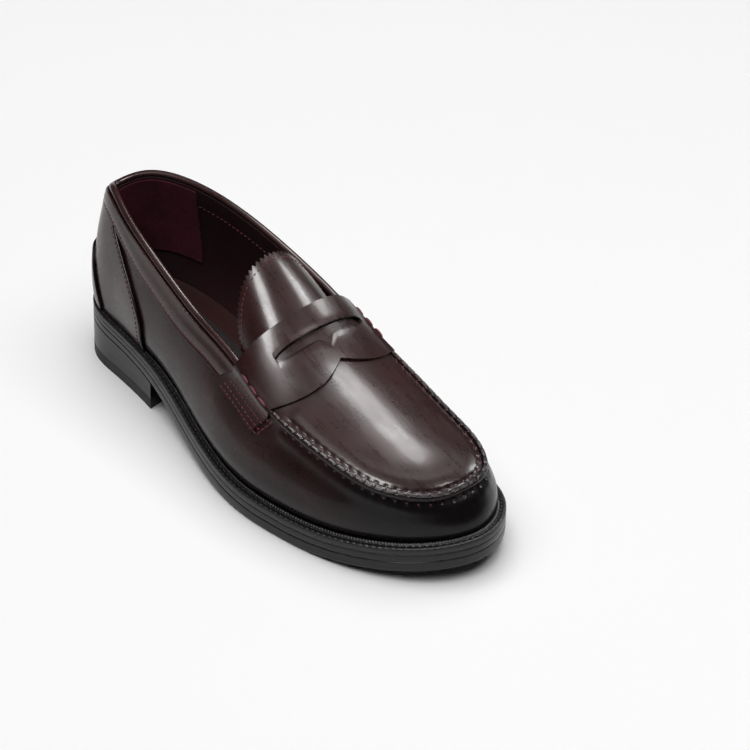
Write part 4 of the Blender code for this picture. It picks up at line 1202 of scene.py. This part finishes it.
def tongue_pieces():
    """Pinked tongue, its lining, and the stitch row inside the pinking."""
    _, length = tongue_edge(400, 0.0)
    teeth = int(length / TOOTH_PITCH)
    edge, _ = tongue_edge(teeth * 8 + 1, 0.0, TOOTH_DEPTH)
    grid = facing_out(tongue_grid(edge, 0.0, 30))
    drop = np.linspace(0.0, 1.0, 30)[:, None]
    burnish_and_shade = np.broadcast_to(0.02 + 0.35 * np.exp(-drop / 0.05), grid.shape[:2])
    top = hide_sheet("pinked_tongue", grid, LEATHER, burnish_and_shade, edge=0.2)
    plain, _ = tongue_edge(260, 3.4)
    lining = facing_out(tongue_grid(plain, 1.7, 18))
    under = hide_sheet("tongue_back", lining, LINING, edge=0.15)
    sewn, _ = tongue_edge(500, 4.2)
    keep = slice(40, -40)
    path = to_world(tongue_point(sewn[keep, 1], sewn[keep, 0], 0.0))
    normals = outward_of(lambda p, q: tongue_point(q, p, 0.0), sewn[keep, 0], sewn[keep, 1], (0.002, 0.05))
    rows = stitch_row("tongue_stitches", [(path, normals)], SEWN_PITCH, 2.1, 0.27)
    return top, under, rows


# --------------------------------------------------------------------------------------
# Topline, collar and heel
# --------------------------------------------------------------------------------------

def topline_roll():
    """Rolled edge round the foot opening, a little fuller on its outer side."""
    u = round_heel(COLLAR_FRONT, 700)
    path = to_world(wall_top(u, LINING_DEPTH / 2.0))
    out = plan_outward(TOP, u)
    guide = world_direction(np.column_stack([out * 0.2, np.ones(len(u))]))
    section = circle(2.0, 1.75, 20, 0.92)
    return swept("topline_roll", path, guide, section, burnish_and_shade=0.0)


def band_width(u):
    """Width of the collar band: narrow at the back, widest at the sides of the heel."""
    stations = TOP(u)[:, 1]
    return 10.5 + 5.0 * blend(20.0, 65.0, stations) - 2.0 * blend(90.0, 130.0, stations)


BAND_TOP = 1.2                # the collar band starts this far below the topline
BAND_END = 13.5               # and is this wide where it meets the strap tab


def collar():
    """Collar band sewn round the outside of the topline, slightly sunk along its stitching."""
    grid, below, from_edge = [], [], []
    for share in np.linspace(0.0, 1.0, 20):
        end_drop = BAND_TOP + (BAND_END - BAND_TOP) * share
        end = float(strap_rear(-1.0)) - TAB_BACK * float(blend(0.0, TAB_DROP, end_drop)) - 0.4
        u = round_heel(end, 700)
        width = band_width(u)
        drop = BAND_TOP + (width - BAND_TOP) * share
        grid.append(wall_below(u, drop, -OVERLAY))
        below.append(drop)
        from_edge.append(width - drop)
    grid = to_world(np.stack(grid, axis=1))
    below, from_edge = np.stack(below, axis=1), np.stack(from_edge, axis=1)
    if facing_in(grid):
        grid, below, from_edge = grid[:, ::-1], below[:, ::-1], from_edge[:, ::-1]
    height = -0.22 * hump(from_edge, 2.1, 0.8) + 0.30 * hump(from_edge, 6.0, 3.2)
    burnish_and_shade = 0.06 + 0.30 * np.exp(-from_edge / 1.2) + 0.15 * np.exp(-below / 2.0)
    piece = hide_sheet("collar_band_leather", raised(grid, height), LEATHER, burnish_and_shade, edge=0.3)
    rows = [on_wall(u, width - 2.1, -OVERLAY + 0.2)]
    return piece, stitch_row("collar_stitches", rows, SEWN_PITCH, 2.15, 0.27)


def counter_reach(drop):
    """Station of the front edge of the heel counter; drop is 0 at the collar band, 1 at the welt."""
    return 28.0 + 34.5 * np.sin(np.clip(drop / 0.6, 0.0, 1.0) * np.pi / 2.0) - 3.0 * blend(0.6, 1.0, drop)


def counter_surface(reach, top_gap, drops, columns, depth):
    """Grid on the heel between two heights, with its own front outline, and each column's u."""
    spread = np.linspace(-1.0, 1.0, columns)
    strips = []
    for drop in drops:
        lateral = ring_u_at(TOP, reach(drop), True)
        medial = 1.0 - ring_u_at(TOP, reach(drop), False)
        u = np.where(spread > 0.0, lateral, medial) * spread
        top = wall_v(u, band_width(u) + top_gap)
        strips.append(wall(u, top * (1.0 - drop), depth))
    return to_world(np.stack(strips))


def counter():
    """Heel counter with a piped front edge and a stitch row inside it."""
    drops = np.linspace(0.0, 1.0, 72)
    grid = facing_out(counter_surface(counter_reach, -0.6, drops, 181, -OVERLAY))
    spread = np.abs(np.linspace(-1.0, 1.0, 181))[None, :]
    low = blend(0.45, 1.0, drops)[:, None]
    burnish_and_shade = 0.16 + 0.50 * low + 0.25 * np.exp(-(1.0 - spread) / 0.02)
    sheet = hide_sheet("heel_counter_leather", grid, LEATHER, burnish_and_shade, edge=0.3)
    edges, rows = [], []
    for lateral in (True, False):
        drop = np.linspace(0.004, 0.996, 160)
        front = ring_u_at(TOP, counter_reach(drop) + 0.5, lateral)
        edges.append(counter_line(front, drop, -OVERLAY + 0.35))
        inside = ring_u_at(TOP, counter_reach(drop[4:-4]) - 2.6 - 1.2 * (1.0 - drop[4:-4]), lateral)
        rows.append(counter_line(inside, drop[4:-4], -OVERLAY))
    stitches = stitch_row("counter_stitches", rows, SEWN_PITCH, 2.1, 0.26)
    # The piping is painted nearly black: partly its own dark edge, partly painted shadow along the counter's
    # front edge.
    pipes = [swept("counter_piping_" + side, path, normals, circle(0.95, 0.85, 10), burnish_and_shade=0.95)
             for side, (path, normals) in zip(("lateral", "medial"), edges)]
    return sheet, stitches, pipes


def counter_line(u, drop, depth):
    """Path down the heel at ring parameters u and drops, with its outward normals."""
    top = wall_v(u, band_width(u) - 0.6)
    v = top * (1.0 - drop)
    path = to_world(wall(u, v, depth))
    return path, outward_of(lambda p, q: wall(p, q, depth), u, v, (0.0005, 0.004))


def kicker_reach(drop):
    """Half-moon outline of the low patch at the back of the heel."""
    return 6.0 + 16.0 * np.sqrt(np.clip((drop - 0.42) / 0.5, 0.0, 1.0))


def heel_patches():
    """Raised half-moon patch low on the heel back, and the short tab under the collar."""
    drops = 0.45 + 0.53 * (1.0 - np.cos(np.linspace(0.0, np.pi / 2.0, 34)))
    grid = facing_out(counter_surface(kicker_reach, 0.0, drops, 81, -PATCH))
    patch = hide_sheet("heel_patch", grid, LEATHER, 0.75, edge=0.45)
    below = np.linspace(7.5, 15.5, 14)
    u = np.linspace(-0.0075, 0.0075, 17)
    tab = np.stack([to_world(wall_below(u * (1.0 - 0.25 * t), b, -PATCH))
                    for b, t in zip(below, np.linspace(0.0, 1.0, 14))])
    return patch, hide_sheet("heel_tab", facing_out(tab), LEATHER + 0.4, 0.35, edge=0.5)


# --------------------------------------------------------------------------------------
# Inside of the shoe
# --------------------------------------------------------------------------------------

def quarter_lining():
    """Lining of the back half, with the stitch row that holds the collar band."""
    u = round_heel(111.0, 420)
    grid, below = wall_sheet(u, 1.4, None, LINING_DEPTH, 30)
    height = 0.25 * hump(below, 12.5, 0.9)
    piece = hide_sheet("quarter_lining_leather", raised(grid, height), LINING, edge=0.15)
    path, normals = on_wall(round_heel(109.0, 600), 12.5, LINING_DEPTH + LINING)
    return piece, stitch_row("lining_stitches", [(path, -normals)], 3.0, 2.2, 0.27)


def grip():
    """Suede heel grip with square front edges."""
    u = round_heel(44.0, 260)
    grid, _ = wall_sheet(u, 2.6, 50.0, GRIP_DEPTH, 40)
    return hide_sheet("heel_grip_suede", grid, LINING, edge=0.25)


def vamp_lining():
    """Lining of the front half."""
    u = round_toe(112.0, 500)
    clear = 4.5 + 2.0 * blend(112.0, 165.0, TOP(u)[:, 1])
    grid, _ = wall_sheet(u, clear, None, LINING_DEPTH, 16)
    return hide_sheet("vamp_lining_leather", grid, LINING, edge=0.15)


def sole_middle(station):
    """Middle of the shoe, in x, at a station."""
    lateral = sole_edge(ring_u_at(SOLE, station, True))[:, 0]
    medial = sole_edge(ring_u_at(SOLE, station, False))[:, 0]
    return (lateral + medial) / 2.0


SOCK_HEIGHT = 3.6             # above the top of the welt
HEEL_PAD = (42.0, 34.0)       # middle and reach of the padding under the heel, in stations


def sock():
    """Sock liner, turned up a little where it meets the lining."""
    stations = 4.0 + (LENGTH - 18.0) * (1.0 - np.cos(np.linspace(0.06, np.pi - 0.05, 150))) / 2.0
    dense = np.linspace(0.0, 1.0, 1500)
    edge = sole_edge(dense, welt_inset(SOLE(dense)[:, 1]) + LINING_DEPTH + LINING + 0.4)
    split = np.argmax(edge[:, 1])
    lateral = np.interp(stations, edge[:split, 1], edge[:split, 0])
    medial = np.interp(stations, edge[split:, 1][::-1], edge[split:, 0][::-1])
    share = np.linspace(-1.0, 1.0, 41)
    x = lateral[:, None] + (medial - lateral)[:, None] * (share + 1.0) / 2.0
    dish = 0.9 * np.abs(share)[None, :] ** 8
    pad = 0.9 * (hump(stations, *HEEL_PAD)[:, None] * (1.0 - share[None, :] ** 2))
    z = welt_top(stations)[:, None] + SOCK_HEIGHT + dish + pad * 0.4
    grid = to_world(np.stack([x, np.broadcast_to(stations[:, None], x.shape), z], axis=2))
    return hide_sheet("sock_liner_leather", facing_up(grid), 0.7, edge=0.2)


LABEL_HEIGHT = 4.35
LABEL_MIDDLE = ((40.0, 9.5), (76.0, 8.0), (115.0, 3.0), (165.0, -1.5))
LABEL_RUN = (52.0, 108.0)
LABEL_WIDTH = 24.0


def label():
    """Blank woven label with a folded hem at each end."""
    stations = np.linspace(*LABEL_RUN, 60)
    share = np.linspace(-1.0, 1.0, 21)
    x = profile(LABEL_MIDDLE)(stations)[:, None] + share[None, :] * LABEL_WIDTH / 2.0
    from_end = np.minimum(stations - LABEL_RUN[0], LABEL_RUN[1] - stations)
    hem = 0.28 * blend(2.6, 1.8, from_end)[:, None]
    pad = 0.36 * (hump(stations, *HEEL_PAD)[:, None] * (1.0 - (x / 34.0) ** 2))
    z = welt_top(stations)[:, None] + LABEL_HEIGHT + hem + pad
    grid = to_world(np.stack([x, np.broadcast_to(stations[:, None], x.shape), z], axis=2))
    return hide_sheet("sock_label_cloth", facing_up(grid), 0.5, edge=0.15)


# --------------------------------------------------------------------------------------
# Welt, sole and heel
# --------------------------------------------------------------------------------------

WELT_STITCH = 3.6
WELT_POINTS = 2400


def even_ring(count):
    """Ring parameters at even steps along the sole edge."""
    dense = np.linspace(0.0, 1.0, 6001)
    run = run_length(to_world(np.column_stack([sole_edge(dense), np.zeros(6001)])))
    return np.interp(np.linspace(0.0, run[-1], count, endpoint=False), run, dense), run[-1]


def welt_strip():
    """Welt all round: wheeled outer lip, stitch channel, and a ribbed bead beside the upper."""
    u, length = even_ring(WELT_POINTS)
    count = round(length / WELT_STITCH)
    turn = np.linspace(0.0, 1.0, len(u), endpoint=False) * count
    wheel = 0.5 - 0.5 * np.cos(2.0 * np.pi * turn)
    rib = 0.5 - 0.5 * np.cos(2.0 * np.pi * turn * 2.0)
    station = SOLE(u)[:, 1]
    wide = welt_inset(station)
    top = welt_top(station)
    thick = edge_thickness(station) * (1.0 - OUTSOLE_SHARE - MIDSOLE_SHARE) - 0.1
    lip = -0.30 * (1.0 - wheel) * 0.9
    bead = 0.55 + 0.35 * rib
    lines = (
        (0.9, -thick), (0.08, -thick + 0.1), (0.0, -0.55 * thick), (0.02, -0.9), (0.30, -0.25 + lip),
        (0.9, 0.10 + lip), (0.30 * wide, 0.05 + 0.6 * lip), (0.36 * wide, -0.42), (0.50 * wide, -0.42),
        (0.56 * wide, 0.0), (0.66 * wide, bead), (0.80 * wide, bead), (0.92 * wide, -0.1),
        (1.0 * wide + 1.0, -0.3), (wide + 1.6, -thick),
    )
    columns = []
    for inset, rise in lines:
        plan = sole_edge(u, np.broadcast_to(inset, u.shape))
        columns.append(np.column_stack([plan, top + rise]))
    grid = to_world(np.stack(columns, axis=1))
    grid = np.concatenate([grid, grid[:, :1]], axis=1)
    return add_mesh("welt_strip", grid, grid_faces(len(u), grid.shape[1], closed=True))


def welt_stitches():
    """Waxed lock stitches lying in the welt channel."""
    u, length = even_ring(WELT_POINTS)
    count = round(length / WELT_STITCH)
    u = np.append(u, 1.0)
    station = SOLE(u)[:, 1]
    path = to_world(np.column_stack([sole_edge(u, 0.43 * welt_inset(station)), welt_top(station) - 0.30]))
    normals = np.tile([0.0, 0.0, 1.0], (len(u), 1))
    pitch = run_length(path)[-1] / count
    return stitch_row("welt_stitches", [(path, normals)], pitch, pitch * 0.84, 0.55, lift=0.42)


def sole_layer(name, insets, high, low):
    """Layer of the sole: its trimmed edge given by (inset, share of the way up) pairs, closed across."""
    stations = LENGTH * (1.0 - np.cos(np.linspace(0.0, np.pi, 260))) / 2.0
    lateral = ring_u_at(SOLE, stations, True)
    medial = ring_u_at(SOLE, stations, False)
    u = np.concatenate([lateral, medial[1:-1][::-1]])
    bottom, top = low(SOLE(u)[:, 1]), high(SOLE(u)[:, 1])
    columns = []
    for inset, share in insets:
        columns.append(np.column_stack([sole_edge(u, inset), bottom + (top - bottom) * share]))
    rim = columns[0][:, :2]
    middle = np.column_stack([sole_middle(SOLE(u)[:, 1]), SOLE(u)[:, 1]])
    inner = [rim * (1.0 - share) + middle * share for share in (0.25, 0.6, 1.0)]
    below = [np.column_stack([plan, low(plan[:, 1])]) for plan in reversed(inner)]
    above = [np.column_stack([plan, high(plan[:, 1])]) for plan in inner]
    grid = to_world(np.stack(below + columns + above, axis=1))
    return add_mesh(name, grid, grid_faces(len(u), grid.shape[1], closed=True), weld=0.02)


def level(share, shift=0.0):
    """Height at a share of the sole edge thickness, as a function of the station."""
    return lambda station: sole_under(station) + edge_thickness(station) * share + shift


def outsole_layer():
    edge = ((1.2, 0.0), (0.45, 0.04), (0.12, 0.14), (0.0, 0.34), (0.0, 0.80), (0.05, 0.94),
            (0.22, 0.985), (1.2, 1.0))
    return sole_layer("outsole_layer", edge, level(OUTSOLE_SHARE, -0.05), level(0.0))


def midsole_layer():
    edge = ((1.2, 0.0), (0.22, 0.02), (0.08, 0.12), (0.05, 0.5), (0.05, 0.88), (0.15, 0.98), (1.2, 1.0))
    low = level(OUTSOLE_SHARE, 0.05)
    return sole_layer("midsole_layer", edge, level(OUTSOLE_SHARE + MIDSOLE_SHARE, 0.1), low)


TOP_PIECE = 6.0
LOWER_LIFT = 5.0


def heel_lift(name, low, high, edge, inset=0.0):
    """One layer of the heel block, with its hollowed breast; high None means up to the outsole."""
    dense = np.linspace(0.0, TOE_U, 600), np.linspace(1.0, TOE_U, 600)
    sides = [sole_edge(u, np.full(len(u), inset)) for u in dense]
    start = sides[0][0, 1]
    stations = start + (HEEL_BREAST - start) * (1.0 - np.cos(np.linspace(0.0, np.pi, 90))) / 2.0
    lateral = np.interp(stations, sides[0][:, 1], sides[0][:, 0])
    medial = np.interp(stations, sides[1][:, 1], sides[1][:, 0])
    share = np.linspace(0.0, 1.0, 25)
    x = lateral[:, None] + (medial - lateral)[:, None] * share
    bow = 2.5 * (1.0 - (2.0 * share - 1.0) ** 2) * blend(HEEL_BREAST - 25.0, HEEL_BREAST, stations)[:, None]
    plan = np.stack([x, stations[:, None] - bow], axis=2)
    top = sole_under(plan[..., 1].ravel()).reshape(x.shape) - 0.05 if high is None else np.full(x.shape, high)
    upper = to_world(np.concatenate([plan, top[..., None]], axis=2))
    lower = to_world(np.concatenate([plan, np.full(x.shape, low)[..., None]], axis=2))
    solid = sheet_faces(grid_faces(*x.shape), x.size)
    piece = add_mesh(name, np.vstack([upper.reshape(-1, 3), lower.reshape(-1, 3)]), solid, weld=0.02)
    soften(piece, edge, 3, 0.9)
    return piece


# --------------------------------------------------------------------------------------
# The whole shoe
# --------------------------------------------------------------------------------------

dress(upper_wall(), "burgundy_leather", ["vamp_wall"])
dress(apron_top(), "burgundy_leather", ["apron"])
dress(seam_lip(), "burgundy_leather", ["apron_seam_roll"])
for piece in seam_stitches():
    dress(piece, "thread")
dress(penny_strap(), "burgundy_leather", ["saddle_strap"])
for side in ("lateral", "medial"):
    outer = side == "lateral"
    dress(strap_seam_stitches("strap_stitches_" + side, outer), "thread", ["strap_thread_" + side])
    dress(stitch_row("tab_stitches_" + side, tab_rows(outer), 3.2, 2.3, 0.34), "thread")
tongue_top, tongue_back, tongue_rows = tongue_pieces()
dress(tongue_top, "burgundy_leather", ["tongue"], "tongue")
dress(tongue_back, "lining_leather", ["tongue_lining"], "tongue")
dress(tongue_rows, "thread", body="tongue")
dress(topline_roll(), "burgundy_leather", ["topline_binding"])
band, band_rows = collar()
dress(band, "burgundy_leather", ["collar_band"])
dress(band_rows, "thread")
counter_leather, counter_rows, counter_pipes = counter()
dress(counter_leather, "burgundy_leather", ["heel_counter"])
dress(counter_rows, "thread")
for pipe in counter_pipes:
    dress(pipe, "burgundy_leather")
patch, tab = heel_patches()
dress(patch, "dark_leather", ["heel_kicker"])
dress(tab, "dark_leather")
lining, lining_rows = quarter_lining()
dress(lining, "lining_leather", ["quarter_lining"])
dress(lining_rows, "thread")
dress(vamp_lining(), "lining_leather", ["vamp_lining"])
dress(grip(), "suede", ["heel_grip"])
dress(sock(), "sock_leather", ["sock_liner"])
dress(label(), "label_black", ["sock_label"])
dress(welt_strip(), "black_welt", ["welt"])
dress(welt_stitches(), "black_thread", ["welt_thread"])
dress(outsole_layer(), "edge", ["outsole"])
dress(midsole_layer(), "edge", ["midsole"])
dress(heel_lift("heel_stack_upper", TOP_PIECE + LOWER_LIFT + 0.05, None, 0.15), "edge",
      ["heel_lift_upper"])
dress(heel_lift("heel_stack_lower", TOP_PIECE + 0.1, TOP_PIECE + LOWER_LIFT, 0.15), "edge",
      ["heel_lift_lower"])
dress(heel_lift("heel_rubber", 0.0, TOP_PIECE, 0.45, -0.15), "black_rubber",
      ["heel_top_piece"])

HIDDEN_LOOKS = {
    "toe_puff": "fibre_board",
    "heel_stiffener": "fibre_board",
    "apron_lining": "lining_leather",
    "cork_filler": "cork",
    "shank_board": "fibre_board",
    "steel_shank": "steel",
    "insole_board": "fibre_board",
}
for node, look in HIDDEN_LOOKS.items():
    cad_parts[node].data.materials.clear()
    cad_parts[node].data.materials.append(LOOKS[look])


# --------------------------------------------------------------------------------------
# Camera, floor and light
# --------------------------------------------------------------------------------------

CAMERA_VIEW = (-42.318, 35.794)      # degrees round from the toe, degrees up
CAMERA_REACH = 2.0
CAMERA_AIM = (0.05088, 0.00732)      # metres right of and above the middle of the shoe
CAMERA_LENS = 179.34


def add_camera():
    """Camera in front of the outer side, looking down; the shoe stands left of the middle."""
    azimuth, elevation = np.radians(CAMERA_VIEW)
    target = Vector((0.0, 0.0, 0.040))
    level_x, level_y = np.sin(azimuth) * np.cos(elevation), -np.cos(azimuth) * np.cos(elevation)
    back = Vector((level_x, level_y, np.sin(elevation)))
    right = Vector((np.cos(azimuth), np.sin(azimuth), 0.0))
    place = target + back * CAMERA_REACH
    aim = target + right * CAMERA_AIM[0] + back.cross(right) * CAMERA_AIM[1]
    back = (place - aim).normalized()
    right = (right - back * right.dot(back)).normalized()
    up = back.cross(right)
    data = bpy.data.cameras.new("camera")
    data.lens = CAMERA_LENS
    data.sensor_width = 36.0
    camera = bpy.data.objects.new("camera", data)
    camera.matrix_world = Matrix.Translation(place) @ Matrix((right, up, back)).transposed().to_4x4()
    bpy.context.scene.collection.objects.link(camera)
    bpy.context.scene.camera = camera


def add_floor():
    """Pale floor that turns up into a low backdrop far away."""
    radius = np.array([0.0, 0.6, 2.0, 4.0, 5.2, 5.6, 5.9, 6.0])
    height = np.array([0.0, 0.0, 0.0, 0.0, 0.04, 0.13, 0.32, 0.60])
    turn = np.linspace(0.0, 2.0 * np.pi, 96, endpoint=False)
    grid = np.stack([np.outer(np.cos(turn), radius), np.outer(np.sin(turn), radius),
                     np.outer(np.ones(96), height)], axis=2)
    floor = add_mesh("floor", grid, grid_faces(96, len(radius), closed=True), weld=0.01)
    paper = Look("floor_paper", Roughness=0.65, Specular_IOR_Level=0.25)
    tone = paper.noise(3.0, 2.0, 0.5)
    paper.colour(paper.mixed(tone, (0.90, 0.90, 0.90, 1.0), (0.91, 0.91, 0.91, 1.0)))
    floor.data.materials.append(paper.material)


def add_softbox(name, direction, reach, size, power, card=True):
    """Soft light aimed at the shoe from a direction (degrees round from the toe, degrees up).

    A card is only there to be mirrored in the polish; the other light gives the even light.
    """
    around, up = np.radians(direction)
    aim = Vector((0.0, 0.0, 0.06))
    away = Vector((np.sin(around) * np.cos(up), -np.cos(around) * np.cos(up), np.sin(up)))
    data = bpy.data.lights.new(name, "AREA")
    data.shape = "RECTANGLE"
    data.size, data.size_y = size
    data.energy = power
    light = bpy.data.objects.new(name, data)
    light.location = aim + away * reach
    light.rotation_euler = away.to_track_quat("Z", "Y").to_euler()
    light.visible_glossy = card
    light.visible_diffuse = not card
    bpy.context.scene.collection.objects.link(light)


def add_world():
    """Dim studio, brighter overhead."""
    world = bpy.data.worlds.new("studio")
    world.use_nodes = True
    tree = world.node_tree
    coordinates = tree.nodes.new("ShaderNodeTexCoord")
    split = tree.nodes.new("ShaderNodeSeparateXYZ")
    ramp = tree.nodes.new("ShaderNodeMapRange")
    ramp.interpolation_type = "SMOOTHSTEP"
    for index, number in enumerate((0.25, 1.0, 0.04, 0.42), start=1):
        ramp.inputs[index].default_value = number
    tree.links.new(coordinates.outputs["Generated"], split.inputs[0])
    tree.links.new(split.outputs["Z"], ramp.inputs[0])
    tree.links.new(ramp.outputs[0], tree.nodes["Background"].inputs["Strength"])
    bpy.context.scene.world = world


add_camera()
add_floor()
add_world()
add_softbox("overhead", (0.0, 90.0), 2.6, (3.6, 3.6), 116.0, card=False)
add_softbox("side_card", (-72.0, 62.0), 1.3, (0.42, 0.44), 13.0)
add_softbox("far_card", (76.0, 30.0), 1.3, (0.24, 0.48), 6.5)
add_softbox("back_card", (112.0, 62.0), 1.3, (0.42, 0.38), 8.6)
add_softbox("toe_card", (24.0, 46.0), 0.55, (0.11, 0.07), 0.5)
bpy.context.scene.view_settings.view_transform = "Standard"
